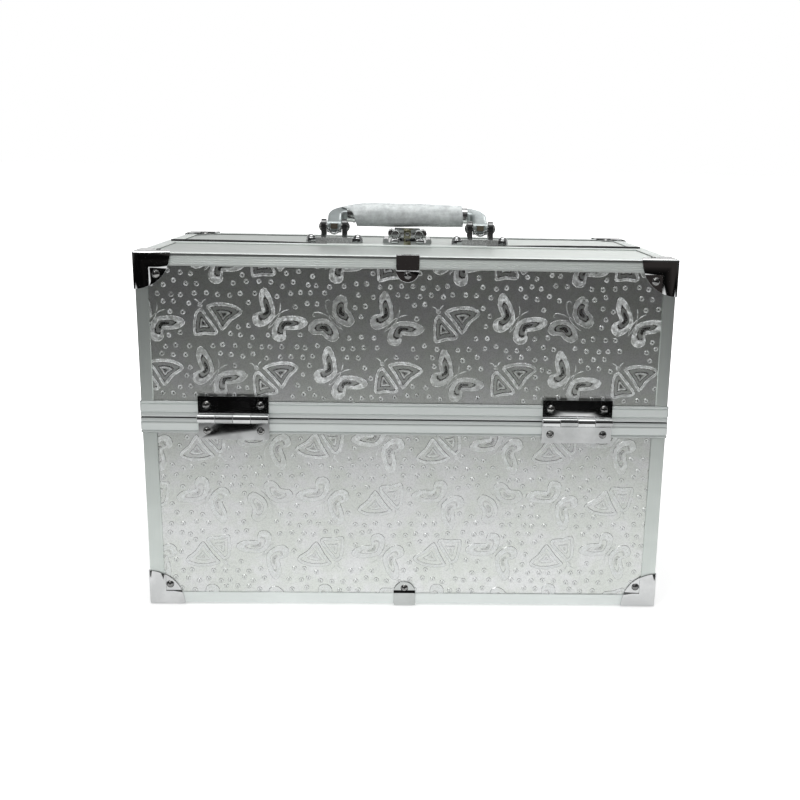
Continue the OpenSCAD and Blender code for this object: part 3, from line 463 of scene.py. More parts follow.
def dress(obj, material):
    obj.data.materials.clear()
    obj.data.materials.append(material)


for finish, names in nodeFinish.items():
    for name in names:
        dress(nodes[name], look[finish])
print("stage: nodes dressed")


# Pressed and drawn metal has soft edges: these nodes are shown by merged copies with a small bevel.
# slots holds the body of each node.
record = frame["record"]
slots = {node: body for body, members in record["behaviour"]["bodies"].items() for node in members}
softEdge = dict(segments=2, limit=25.0, smooth=35.0, merge=0.000002, flat=0.5)


def softCopy(name, width):
    # A merged copy of a node: doubles joined, flat faces dissolved, a Bevel on edges sharper than the limit.
    source = nodes[name]
    b = bmesh.new()
    b.from_mesh(source.data)
    bmesh.ops.remove_doubles(b, verts=b.verts, dist=softEdge["merge"])
    bmesh.ops.dissolve_limit(b, angle_limit=math.radians(softEdge["flat"]), verts=b.verts, edges=b.edges)
    mesh = bpy.data.meshes.new(name + "_soft")
    b.to_mesh(mesh)
    b.free()
    piece = bpy.data.objects.new(name + "_soft", mesh)
    bpy.context.scene.collection.objects.link(piece)
    mesh.materials.append(source.data.materials[0])
    if width:
        bevel = piece.modifiers.new("softEdge", "BEVEL")
        bevel.width = width * mm
        bevel.segments = softEdge["segments"]
        bevel.limit_method = "ANGLE"
        bevel.angle_limit = math.radians(softEdge["limit"])
    mesh.polygons.foreach_set("use_smooth", [True] * len(mesh.polygons))
    mesh.set_sharp_from_angle(angle=math.radians(softEdge["smooth"]))
    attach(piece, slots[name])
    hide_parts(name)


# grids
def gridFaces(rows, cols, closed=True):
    # Quads between neighbouring rows of a grid of points; closed joins each row's end to its start.
    i, j = np.meshgrid(np.arange(rows - 1), np.arange(cols if closed else cols - 1), indexing="ij")
    i, j = i.ravel(), j.ravel()
    j2 = (j + 1) % cols
    return np.stack([i * cols + j, i * cols + j2, (i + 1) * cols + j2, (i + 1) * cols + j], 1)


def turns(n):
    # n angles round a circle
    return np.arange(n) * 2 * np.pi / n


# embossed pattern
emboss = dict(pitch=(40.4, 39.0), shake=(1.6, 1.2, 8.0), tilt=(0, -35, 40), reach=(13, 9),
              height=0.2, sunk=0.03, edge=0.3, frostWidth=2.1, feeler=0.7, ring=(1.85, 0.48, 0.95),
              ringPitch=7.9, ringRow=0.87, ringJitter=1.6, ringGap=2.6, ringTurn=0.35, columns=8, rows=5,
              seed=5, underFrame=1.5,
              sideInner=((0.94, 0.8, 0.50), (0.62, 0.76, 0.58), (0.48, 0.7, 0.65), (0.36, 0.84, 0.76),
                         (0.16, 0.8, 0.66)),
              openInner=((0.82, 0.92, 0.42), (0.62, 0.86, 0.50), (0.44, 0.84, 0.58), (0.26, 0.86, 0.65)),
              tones=dict(side=(1.0, 1.6), open=(0.9, 1.6), round=(0.4, 0.75), ring=(0.75, 1.35)))


def smoothLoop(points, count):
    # A closed Catmull-Rom curve, anticlockwise: each span blends four neighbouring points by cubic weights.
    p = np.asarray(points, float)
    n = len(p)
    s = np.arange(count) * n / count
    i = np.floor(s).astype(int)
    t = (s - i)[:, None]
    a, b, c, d = (p[(i + k) % n] for k in (-1, 0, 1, 2))
    loop = 0.5 * (2 * b + (c - a) * t + (2 * a - 5 * b + 4 * c - d) * t ** 2
                  + (3 * b - a - 3 * c + d) * t ** 3)
    x, y = loop[:, 0], loop[:, 1]
    return loop if np.sum(x * np.roll(y, -1) - np.roll(x, -1) * y) > 0 else loop[::-1]


def smoothLine(points, count):
    # An open Catmull-Rom curve through the points, its ends continued straight.
    p = np.asarray(points, float)
    p = np.vstack([2 * p[0] - p[1], p, 2 * p[-1] - p[-2]])
    s = np.linspace(0, len(p) - 3 - 1e-9, count)
    i = np.floor(s).astype(int)
    t = (s - i)[:, None]
    a, b, c, d = (p[i + k] for k in (0, 1, 2, 3))
    return 0.5 * (2 * b + (c - a) * t + (2 * a - 5 * b + 4 * c - d) * t ** 2
                  + (3 * b - a - 3 * c + d) * t ** 3)


def inwardNormals(loop):
    # Unit normals of an anticlockwise loop, pointing to its inside.
    along = np.roll(loop, -1, 0) - np.roll(loop, 1, 0)
    side = np.stack([-along[:, 1], along[:, 0]], 1)
    return side / np.maximum(np.linalg.norm(side, axis=1, keepdims=True), 1e-9)


def patch(rows):
    # A closed low form from nested loops, outermost first, each (loop, height, inset), with a hub above
    # and one below. A point is (x, y, z, inset).
    n = len(rows[0][0])
    rings = [np.hstack([loop, np.full((n, 1), h), np.full((n, 1), d)]) for loop, h, d in rows]
    hubs = [[*rows[-1][0].mean(0), rows[-1][1], rows[-1][2]], [*rows[0][0].mean(0), rows[0][1], 0.0]]
    c = np.arange(n)
    c2 = (c + 1) % n
    last = (len(rows) - 1) * n
    top, foot = np.full(n, len(rows) * n), np.full(n, len(rows) * n + 1)
    fans = [np.stack([last + c, last + c2, top, top], 1), np.stack([c2, c, foot, foot], 1)]
    return np.vstack(rings + [hubs]), np.vstack([gridFaces(len(rows), n)] + fans)


def wing(points, inner, count=22, size=1.0, heart=None):
    # One wing: a frosted border of even width, then rings shrunk to its heart: (share, height, inset) each.
    h, w = emboss["height"], emboss["frostWidth"]
    loop = smoothLoop(points, count) * size
    n = inwardNormals(loop)
    core = loop + n * w
    middle = core.mean(0) if heart is None else np.array(heart)
    return patch([(loop, -emboss["sunk"], 0.0), (loop + n * emboss["edge"], h, 0.05), (core, 0.95 * h, 0.45)]
                 + [(middle + (core - middle) * k, z * h, d) for k, z, d in inner])


def blob(points, count=10, inset=0.25):
    # A small frosted patch, such as a head or a body; its middle takes the given inset.
    loop = smoothLoop(points, count)
    n = inwardNormals(loop)
    h = emboss["height"]
    return patch([(loop, -emboss["sunk"], 0.0), (loop + n * emboss["edge"], h, 0.2),
                  (loop + n * 2 * emboss["edge"], h, inset)])


def feeler(points, count=5):
    # A thin raised line: a closed box section along an open curve, its ends run to a point.
    line = smoothLine(points, count)
    along = np.gradient(line, axis=0)
    side = np.stack([-along[:, 1], along[:, 0]], 1)
    side /= np.maximum(np.linalg.norm(side, axis=1, keepdims=True), 1e-9)
    w = (emboss["feeler"] * np.sqrt(np.clip(1 - np.linspace(-1, 1, count) ** 4, 0.02, 1)))[:, None]
    low, high = -emboss["sunk"], emboss["height"]
    pts = np.vstack([np.hstack([line + side * w * k, np.full((count, 1), h), np.full((count, 1), 0.15)])
                     for k, h in ((0.5, low), (0.22, high), (-0.22, high), (-0.5, low))])
    faces = gridFaces(5, count, closed=False)[:, ::-1] % (4 * count)
    ends = np.array([[3, 2, 1, 0], [0, 1, 2, 3]]) * count + [[0], [count - 1]]
    return pts, np.vstack([faces, ends])


def join(parts):
    # Stacks (points, faces) parts into one, with the faces renumbered.
    start = np.cumsum([0] + [len(p) for p, f in parts[:-1]])
    return np.vstack([p for p, f in parts]), np.vstack([f + s for (p, f), s in zip(parts, start)])


def sideButterfly():
    # Wings closed, seen from the side: a fan-shaped fore wing and a pear-shaped hind wing.
    fore = [(-5.0, 8.0), (-0.5, 10.0), (6.0, 10.6), (13.0, 9.6), (17.8, 6.6), (16.6, 3.2), (11.4, -0.6),
            (8.4, -4.6), (5.6, -7.2), (3.6, -5.4), (0.2, 0.4), (-3.2, 5.0)]
    hind = [(-9.6, 6.2), (-7.2, 5.4), (-4.2, 1.6), (-0.8, -2.6), (2.2, -7.2), (0.2, -10.2), (-6.0, -10.2),
            (-12.4, -11.4), (-13.8, -7.4), (-13.4, -0.8), (-12.4, 4.0)]
    head = [(-10.0, 7.4), (-8.2, 7.2), (-7.4, 9.0), (-9.0, 10.4), (-10.8, 9.4)]
    rows = emboss["sideInner"]
    return join([wing(fore, rows, 26, 1.06), wing(np.array(hind) + (0.9, 0.0), rows, 22, 1.08), blob(head, 8),
                 feeler([(-9.8, 9.8), (-11.2, 11.6), (-13.2, 12.2)]),
                 feeler([(-8.0, 9.8), (-7.0, 11.6), (-5.2, 12.8)])])


def openButterfly(rounded=False):
    # Wings spread about a slanting body: two bean-shaped wings, a body and two feelers.
    if rounded:
        half = [(1.4, 1.0), (3.6, 5.6), (9.2, 9.8), (15.4, 9.4), (17.2, 4.0), (12.6, -0.6), (12.6, -4.6),
                (10.4, -9.6), (4.6, -10.2), (1.4, -3.6)]
        tips = [(0.3, 4.8), (2.4, 9.8), (5.4, 13.0), (7.8, 12.0), (6.6, 10.2)]
    else:
        half = [(1.2, 1.8), (4.6, 6.2), (10.6, 10.8), (16.6, 12.8), (19.2, 10.4), (17.8, 5.4), (13.6, 1.2),
                (10.2, -1.4), (12.2, -3.6), (13.4, -8.0), (9.8, -11.6), (5.4, -11.2), (2.6, -7.8),
                (1.2, -3.2)]
        tips = [(0.3, 4.8), (1.6, 8.2), (3.8, 10.8)]
    body = [(0.0, 5.0), (1.2, 1.8), (1.1, -4.0), (0.0, -8.4), (-1.1, -4.0), (-1.2, 1.8)]
    half, tips = np.array(half, float), np.array(tips, float)
    heart = np.array((7.6, 1.0) if rounded else (7.2, 1.4))
    sides = ((1, 1), (-1, 1))
    return join([wing(half * k, emboss["openInner"], 24, 1.0, heart * k) for k in sides]
                + [blob(body, 12, 0.6)] + [feeler(tips * k, 4 + 3 * rounded) for k in sides])


def ringMark():
    # A frosted ring round a slit, a few dozen faces.
    outer, slit, slitLong = emboss["ring"]
    unit = np.stack([np.cos(turns(8)), np.sin(turns(8))], 1)
    h = emboss["height"]
    return patch([(unit * outer, -emboss["sunk"], 0.0), (unit * (outer - emboss["edge"]), 0.8 * h, 0.05),
                  (unit * (slit, slitLong), 0.7 * h, 0.47),
                  (unit * (0.6 * slit, 0.7 * slitLong), 0.1 * h, 0.64)])


motifs = dict(side=sideButterfly(), open=openButterfly(), round=openButterfly(True), ring=ringMark())


def butterflyPlaces(halfU, halfV, phase, order, rng):
    # Motif centres on a shaken square lattice, kinds alternating like a chessboard: (u, v, turn, kind).
    wide, tall = (np.arange(-emboss[k], emboss[k] + 1) for k in ("columns", "rows"))
    c, r = (k.ravel() for k in np.meshgrid(wide, tall))
    u, v = phase[0] + c * emboss["pitch"][0], phase[1] + r * emboss["pitch"][1]
    keep = (np.abs(u) < halfU + emboss["reach"][0]) & (np.abs(v) < halfV + emboss["reach"][1])
    c, r, u, v = c[keep], r[keep], u[keep], v[keep]
    shift = [rng.uniform(-k, k, len(u)) for k in emboss["shake"]]
    parity = (c + r + order) % 2
    rounded = (parity == 0) & (r % 2 == 0) & (c % 4 == 2 + order)
    kind = np.where(rounded, 2, parity)
    return u + shift[0], v + shift[1], np.radians(np.choose(kind, emboss["tilt"]) + shift[2]), kind


def ringPlaces(halfU, halfV, taken, rng):
    # A hexagonal lattice shaken by a random step, without places nearer than ringGap to a taken point.
    pitch, shake, past = emboss["ringPitch"], emboss["ringJitter"], emboss["underFrame"]
    n = int(2 * max(halfU, halfV) / pitch) + 6
    i, j = (k.ravel() for k in np.meshgrid(np.arange(-n, n), np.arange(-n, n)))
    u = (i + 0.5 * (j % 2)) * pitch + rng.uniform(-shake, shake, len(i))
    v = j * pitch * emboss["ringRow"] + rng.uniform(-shake, shake, len(i))
    keep = (np.abs(u) < halfU + past) & (np.abs(v) < halfV + past)
    u, v = u[keep], v[keep]
    near = ((u[:, None] - taken[None, :, 0]) ** 2 + (v[:, None] - taken[None, :, 1]) ** 2).min(1)
    free = near > emboss["ringGap"] ** 2
    return u[free], v[free]


def stamp(motif, u, v, turn, tone):
    # Copies of one motif at many places in one array step. A stamped point is (x, y, z, inset, tone).
    pts, faces = motif
    n, k = len(u), len(pts)
    co, si = np.cos(turn)[:, None], np.sin(turn)[:, None]
    x, y, z, inset = (np.broadcast_to(pts[:, c], (n, k)) for c in range(4))
    flat = np.stack([x * co - y * si + u[:, None], x * si + y * co + v[:, None], z, inset,
                     np.broadcast_to(tone[:, None], (n, k))], -1).reshape(-1, 5)
    return flat, (faces[None] + (np.arange(n) * k)[:, None, None]).reshape(-1, 4)


def makePiece(name, points, faces, body, slotName, material, values=None, smooth=False):
    # Puts arrays into a mesh object at the origin and rides it; its slotName is not used. Quads whose last
    # two corners are the same become triangles.
    tri = faces[:, 2] == faces[:, 3]
    sizes = np.where(tri, 3, 4)
    keep = np.ones(faces.shape, bool)
    keep[tri, 3] = False
    mesh = bpy.data.meshes.new(name)
    mesh.vertices.add(len(points))
    mesh.vertices.foreach_set("co", points.astype(np.float32).ravel())
    mesh.loops.add(int(sizes.sum()))
    mesh.loops.foreach_set("vertex_index", faces[keep].astype(np.int32))
    mesh.polygons.add(len(faces))
    mesh.polygons.foreach_set("loop_start", (np.cumsum(sizes) - sizes).astype(np.int32))
    mesh.materials.append(material)
    for key, column in (values or {}).items():
        mesh.attributes.new(key, "FLOAT", "POINT").data.foreach_set("value", column.astype(np.float32))
    mesh.polygons.foreach_set("use_smooth", np.full(len(faces), smooth))
    mesh.update(calc_edges=True)
    mesh.validate()
    piece = bpy.data.objects.new(name, mesh)
    bpy.context.scene.collection.objects.link(piece)
    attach(piece, body)
    return piece


def embossPanel(name, body, origin, across, up, half, phase, order, seed):
    # One panel's pattern: butterflies and rings stamped flat, cut off past the frame, then laid on the face.
    rng = np.random.default_rng(emboss["seed"] * 100 + seed)
    u, v, turn, kind = butterflyPlaces(*half, phase, order, rng)
    parts = []
    for index, key in enumerate(("side", "open", "round")):
        pick = kind == index
        if pick.any():
            tone = rng.uniform(*emboss["tones"][key], pick.sum())
            parts.append(stamp(motifs[key], u[pick], v[pick], turn[pick], tone))
    u, v = ringPlaces(*half, np.vstack([p for p, f in parts]), rng)
    turn = rng.uniform(-emboss["ringTurn"], emboss["ringTurn"], len(u))
    parts.append(stamp(motifs["ring"], u, v, turn, rng.uniform(*emboss["tones"]["ring"], len(u))))
    pts, faces = join(parts)
    edge = np.array(half) + emboss["underFrame"]
    faces = faces[(np.abs(pts[:, :2]) < edge).all(1)[faces].any(1)]
    pts[:, :2] = np.clip(pts[:, :2], -edge, edge)
    used = np.unique(faces)
    index = np.zeros(len(pts), int)
    index[used] = np.arange(len(used))
    pts, faces = pts[used], index[faces]
    across, up = np.array(across, float), np.array(up, float)
    out = np.cross(across, up)
    place = np.array(origin) + (pts[:, :1] * across + pts[:, 1:2] * up + pts[:, 2:3] * out) * mm
    makePiece(name, place, faces, body, "embossed_sheet", look["pattern"],
              dict(inset=pts[:, 3], tone=pts[:, 4]))
    return len(faces)


# the panels between the frame's pieces, in mm: half widths, the lids' ends from and to, and the phases
# of the lattice
panelWays = dict(baseHalf=170.0, baseEndHalf=100.0, lidHalf=171.5, lidEnd=(8.6, 101.5),
                 basePhase=(15.2, -11.5), baseEndPhase=(5.0, -11.5), lidPhase=(-9.0, 10.5),
                 lidEndPhase=(3.0, 10.5), seeds=(1, 2, 3, 4, 5, 6, 13, 14, 15, 16))


def panelRows(w):
    # Each panel as (name, body, origin, across, up, half sizes, phase, order).
    faceY, endX = -nodeBox("base_long_boards")[0][1], nodeBox("base_end_boards")[1][0]
    baseLow, baseHigh = nodeBox("base_bottom_rails")[1][2], nodeBox("base_rim")[0][2]
    lidLow, lidHigh = nodeBox("front_lid_rim")[1][2], nodeBox("front_lid_top_rails")[0][2]
    baseZ, lidZ = (baseLow + baseHigh) / 2, (lidLow + lidHigh) / 2
    baseV, lidV = (baseHigh - baseLow) / 2 / mm, (lidHigh - lidLow) / 2 / mm
    endLow, endHigh = w["lidEnd"]
    endY, endHalf = (endHigh + endLow) / 2, (endHigh - endLow) / 2
    down, up = (0, 0, -1), (0, 0, 1)
    rows = []
    for label, s in (("front", -1), ("rear", 1)):
        rows.append(("pattern_base_" + label, "base", (0, s * faceY, baseZ), (s, 0, 0), down,
                     (w["baseHalf"], baseV), w["basePhase"], 0))
    for label, s in (("right", 1), ("left", -1)):
        rows.append(("pattern_base_" + label, "base", (s * endX, 0, baseZ), (0, -s, 0), down,
                     (w["baseEndHalf"], baseV), w["baseEndPhase"], 0))
    for label, s in (("front", -1), ("rear", 1)):
        rows.append(("pattern_lid_" + label, label + "_lid", (0, s * faceY, lidZ), (-s, 0, 0), up,
                     (w["lidHalf"], lidV), w["lidPhase"], 1))
    phaseU, phaseV = w["lidEndPhase"]
    for label, s in (("right", 1), ("left", -1)):
        for body, r in (("front_lid", -1), ("rear_lid", 1)):
            rows.append((f"pattern_{body}_{label}", body, (s * endX, r * endY * mm, lidZ), (0, s, 0), up,
                         (endHalf, lidV), (phaseU * s * r, phaseV), 1))
    return rows


patternFaces = sum(embossPanel(*row, seed) for row, seed in zip(panelRows(panelWays), panelWays["seeds"]))
print("stage: pattern made,", patternFaces, "faces")


# soft edges: the nodes by their bevel's width in mm
softEdges = {
    0.35: ["base_rim", *lids("rim"), "base_bottom_rails", *lids("top_rails", "seam_rail"), "base_posts",
           *lids("posts")],
    0.28: ["base_corner_plates", *lids("corner_plates"), "base_clips", *lids("clip"), "base_hinge_leaves",
           *lids("hinge_leaves"), "latch_housing", "handle_brackets"],
    0.15: ["latch_keeper", "lock_cylinder", "lock_cam", "handle_ferrules"],
    0.0: ["base_rivets", *lids("rivets"), "handle_pins", "handle_arms", "grip"],
    0.5: trays("tray") + trays("dividers"),
    0.3: ["front_tray_bars", "rear_tray_bars"],
}
for width, names in softEdges.items():
    for name in names:
        softCopy(name, width)
print("stage: edges softened")


# the wrap film round the grip: a loose tube with wandering creases and slanting ends
wrap = dict(radius=8.95, taper=0.95, sink=0.25, middle=0.7, halfLength=41.7, thick=0.14, slant=(2.6, -0.4),
            tongue=(7.0, 3.6), waves=((3, 1.9, 0.14), (5, -3.1, 0.1), (9, 5.3, 0.06), (14, -8.0, 0.03)),
            rows=72, columns=60)


def wrapFilm(w):
    # r(u, a) = radius - taper * q^2 + sum of depth * sin(n a + k u + sin 2u) over the waves, q = (u + 1) / 2;
    # the ends move by slant * cos a. A tongue at the left end's top reaches further out and lies lower.
    middle = np.mean(nodeBox("grip"), 0)
    u, a = np.meshgrid(np.linspace(-1, 1, w["rows"]), turns(w["columns"]), indexing="ij")
    q = (u + 1) / 2
    left, right = np.clip(-u, 0, 1) ** 4, np.clip(u, 0, 1) ** 4
    top = np.clip(np.cos(a), 0, 1)
    r = (w["radius"] - w["taper"] * q ** 2 - w["tongue"][1] * left ** 2 * np.sqrt(top)
         + sum(depth * np.sin(n * a + k * u + np.sin(2 * u)) for n, k, depth in w["waves"]))
    x = (w["middle"] + w["halfLength"] * u + np.cos(a) * (right * w["slant"][1] - left * w["slant"][0])
         - w["tongue"][0] * left ** 2 * top ** 2)
    shells = [np.stack([x * mm, np.sin(a) * (r - t) * mm, (np.cos(a) * (r - t) - w["sink"] * q) * mm], -1)
              for t in (0.0, w["thick"])]
    points = np.stack(shells).reshape(-1, 3) + (0.0, middle[1], middle[2])
    rows, cols = x.shape
    outside = gridFaces(rows, cols)
    inside = outside[:, ::-1] + rows * cols
    j = np.arange(cols)
    j2 = (j + 1) % cols
    last, inner = (rows - 1) * cols, rows * cols
    ends = [np.stack([j2, j, inner + j, inner + j2], 1),
            np.stack([last + j, last + j2, inner + last + j2, inner + last + j], 1)]
    piece = makePiece("wrap_film", points, np.vstack([outside, inside] + ends), "handle", "clear_film",
                      look["film"], smooth=True)
    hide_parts("grip_sleeve")


wrapFilm(wrap)
print("stage: wrap film made")


# boxes with rounded edges
def softBox(name, low, high, body, slotName, material, radius):
    # A box between two corners in metres, its edges rounded by a Bevel.
    low, high = np.minimum(low, high), np.maximum(low, high)
    pick = np.array([[0, 0, 0], [1, 0, 0], [1, 1, 0], [0, 1, 0], [0, 0, 1], [1, 0, 1], [1, 1, 1], [0, 1, 1]])
    faces = np.array([[0, 3, 2, 1], [4, 5, 6, 7], [0, 1, 5, 4], [1, 2, 6, 5], [2, 3, 7, 6], [3, 0, 4, 7]])
    piece = makePiece(name, np.where(pick, high, low), faces, body, slotName, material)
    bevel = piece.modifiers.new("softEdge", "BEVEL")
    bevel.width = radius * mm
    bevel.segments = softEdge["segments"]


# small fittings of the handle and the latch: sizes in mm
fittings = dict(bush=(2.6, 0.7, 1.9), bushAt=(-4.0, 0.5), strip=(13.7, 0.5, 2.1), stripUp=2.2,
                strap=(4.6, 4.8, 0.9), strapFace=-4.5, strapAngles=(190, 350), knob=(3.95, 6.3), knobOut=17.5,
                bracketEnd=3.7, roll=(2.2, 3.4, 9.4), rollIn=1.2, eyelet=(8.7, 7.04, 3.3, 0.55), lift=0.1)
lift = fittings["lift"] * mm
footLow, footHigh = nodeBox("handle_brackets")
pivot = np.mean(nodeBox("handle_pins"), 0)
bracketX = footHigh[0] - (fittings["bracketEnd"] + fittings["knobOut"]) * mm


def bentTube(centres, outward, radius, sides=8):
    # A closed tube round a line: centre + radius * (cos b * outward + sin b * Y), an end cap at each end.
    b = turns(sides)[None, :, None]
    pts = centres[:, None] + radius * (np.cos(b) * outward[:, None] + np.sin(b) * np.array([0.0, 1.0, 0.0]))
    fan = np.array([[0, k, k + 1, k + 1] for k in range(1, sides - 1)])
    caps = [fan[:, [0, 2, 1, 1]], fan + (len(centres) - 1) * sides]
    return pts.reshape(-1, 3), np.vstack([gridFaces(len(centres), sides)] + caps)


def turned(profile, count=20):
    # A form turned round Z from (radius, height) rows, the last one on the axis.
    a = turns(count)
    r, z = np.array(profile).T
    pts = np.stack([np.outer(r, np.cos(a)), np.outer(r, np.sin(a)), np.repeat(z[:, None], count, 1)], -1)
    return pts.reshape(-1, 3), gridFaces(len(r), count)


def handleFittings(label, x, w):
    # A bush and a bent strap on one arm; a knurled strip and two domed knobs on its bracket.
    sx, sy, sz = (k * mm for k in w["bush"])
    at = pivot * (0, 1, 1) + (x, w["bushAt"][0] * mm, w["bushAt"][1] * mm)
    softBox("arm_bush_" + label, at - (sx, 0, sz), at + (sx, sy, sz), "handle", "handle_paint",
            look["bush"], 0.3)
    half = np.array(w["strip"]) * mm
    at = np.array([x, footLow[1], footLow[2] + w["stripUp"] * mm])
    softBox("foot_strip_" + label, at - half, at + half, "rear_lid", "chrome_plate", look["knurl"], 0.1)
    # the strap is part of an ellipse: (a cos t, b sin t) between the strap's angles
    wide, deep, thin = (k * mm for k in w["strap"])
    t = np.radians(np.linspace(*w["strapAngles"], 17))
    way = np.stack([np.cos(t), np.zeros(17), np.sin(t)], 1)
    line = way * (wide, 0, deep) + (x, pivot[1] + w["strapFace"] * mm, pivot[2])
    makePiece("arm_strap_" + label, *bentTube(line, way, thin), "handle", "handle_paint", look["chrome"],
              smooth=True)
    # a knob's dome: (r cos t, h sin t) over a straight foot
    wide, tall = (k * mm for k in w["knob"])
    t = np.linspace(0, np.pi / 2, 8)[:-1]
    dome = np.stack([wide * np.cos(t), (0.25 + 0.75 * np.sin(t)) * tall], 1)
    pts, faces = turned([(wide, 0.0), *dome, (0.00002, tall)])
    knobs = [pts + (x + end * w["knobOut"] * mm, pivot[1], footLow[2] + lift) for end in (-1, 1)]
    makePiece("foot_knobs_" + label, np.vstack(knobs), np.vstack([faces, faces + len(pts)]), "rear_lid",
              "chrome_plate", look["bracket"], smooth=True)


bothSides = ((-1, "left"), (1, "right"))


def latchRolls(w, rows=15, sides=16):
    # Two rolled edges in front of the latch's foot: lying capsules, radius r * sqrt(1 - |x / l|^6).
    low = nodeBox("latch_housing")[0]
    radius, half, out = (k * mm for k in w["roll"])
    t, a = np.linspace(-1, 1, rows), turns(sides)
    r = radius * np.sqrt(np.clip(1 - np.abs(t) ** 6, 0.02, 1))
    y, z = low[1] + w["rollIn"] * mm + np.outer(r, np.cos(a)), low[2] + radius + lift + np.outer(r, np.sin(a))
    for side, label in bothSides:
        x = np.repeat(side * out + half * t[:, None], sides, 1)
        makePiece("latch_roll_" + label, np.stack([x, y, z], -1).reshape(-1, 3), gridFaces(rows, sides),
                  "rear_lid", "chrome_plate", look["chrome"], smooth=True)


def eyelets(w, count=28, tube=8):
    # Two rings round the latch's round sinkings: a torus each, (R + r cos b) about its axis along Y.
    low = nodeBox("latch_housing")[0]
    out, up, big, thin = (k * mm for k in w["eyelet"])
    a, b = np.meshgrid(turns(count), turns(tube), indexing="ij")
    r = big + thin * np.cos(b)
    y, z = low[1] + thin * np.sin(b), low[2] + up + r * np.sin(a)
    rings = [np.stack([side * out + r * np.cos(a), y, z], -1) for side in (-1, 1)]
    faces = gridFaces(count + 1, tube) % (count * tube)
    makePiece("latch_eyelets", np.stack(rings).reshape(-1, 3), np.vstack([faces, faces + count * tube]),
              "rear_lid", "chrome_plate", look["chrome"], smooth=True)


handleFittings("left", -bracketX, fittings)
handleFittings("right", bracketX, fittings)
latchRolls(fittings)
eyelets(fittings)

# a black lip standing out of the seam, a dark piece put there as the shade of the gap between the lids,
# highest at the case's ends and gone beside the handle
seamShade = dict(fromX=60.0, toX=176.0, nearY=0.65, width=2.0, height=1.35, least=0.05, sunk=0.1, rows=40,
            section=((0.0, 0.0), (1.0, 0.0), (1.0, 0.7), (0.8, 1.0), (0.2, 1.0), (0.0, 0.7)))
# upright black strips that close the gap between the lids at the case's ends, standing in for the shade in
# that gap
gapShadeStrips = dict(x=(177.5, 179.5), y=(-0.4, 1.0), foot=0.4, top=0.1)
railLow, railHigh = nodeBox("rear_lid_seam_rail")


def seamShadeLip(name, side, w):
    # Height along the run: height * (1 - (1 - t)^3) from the inner end, t = 0, to the outer end, t = 1.
    t = np.linspace(0, 1, w["rows"])
    x = side * (w["fromX"] + (w["toX"] - w["fromX"]) * t)
    h = w["least"] + (w["height"] - w["least"]) * (1 - (1 - t) ** 3)
    foot = railHigh[2] / mm - w["sunk"]
    lines = [np.stack([x, np.full(len(x), w["nearY"] + a * w["width"]), foot + b * (h + w["sunk"])], 1)
             for a, b in w["section"]]
    n, m = len(lines), len(x)
    cap = np.array([[0, 3, 2, 1], [0, 5, 4, 3]]) * m
    faces = np.vstack([gridFaces(n + 1, m, closed=False) % (n * m), cap, (cap + m - 1)[:, ::-1]])
    makePiece(name, np.concatenate(lines) * mm, faces[:, ::-1] if side > 0 else faces, "rear_lid", "lining",
              look["seamShade"])


for side, label in bothSides:
    seamShadeLip("seam_shade_lip_" + label, side, seamShade)
for side, label in bothSides:
    inner, outer = (np.array((side * x, y, 0.0)) * mm for x, y in zip(gapShadeStrips["x"], gapShadeStrips["y"]))
    inner[2], outer[2] = railLow[2] + gapShadeStrips["foot"] * mm, railHigh[2] - gapShadeStrips["top"] * mm
    softBox("seam_shade_strip_" + label, inner, outer, "rear_lid", "lining", look["seamShade"], 0.1)
print("stage: handle and latch fittings made")


# floor, world and lamps
stageLook = dict(floorSize=40.0, floorZ=-0.0004, foot=(0.06, 0.11), middle=0.015, near=0.47, far=0.60,
                 farLeft=(0.003, 0.003, 0.003), farRight=(0.038, 0.033, 0.032), farTurn=(-0.5, 0.0),
                 farRise=(0.9, 2.2), lift=0.42, fade=(0.10, 0.55), glossLift=(0.42, 0.23),
                 glossFade=(0.02, 0.16), worldDiffuse=0.55, turn=(-0.35, 0.25),
                 behind=[(0.0, 0.72), (0.3, 0.72), (0.5, 0.2), (0.8, 0.4)],
                 before=[(0.0, 0.05), (0.45, 0.05), (0.7, 0.2), (0.95, 0.4)])
lamps = dict(overhead=dict(place=(0.0, -0.1, 1.6), target=(0, 0, 0.1), size=(1.0, 0.8), power=7.0),
             frontFill=dict(place=(-0.8, -1.3, 1.5), target=(0, 0, 0.12), size=(0.6, 0.5), power=5.0),
             rearFill=dict(place=(0.5, 1.4, 1.4), target=(0, 0, 0.12), size=(0.7, 0.5), power=3.9))
plainWhite = (1.0, 1.0, 1.0, 1.0)


def mixShader(t, factor, a, b):
    return feed(t, t.nodes.new("ShaderNodeMixShader"), factor, a, b)


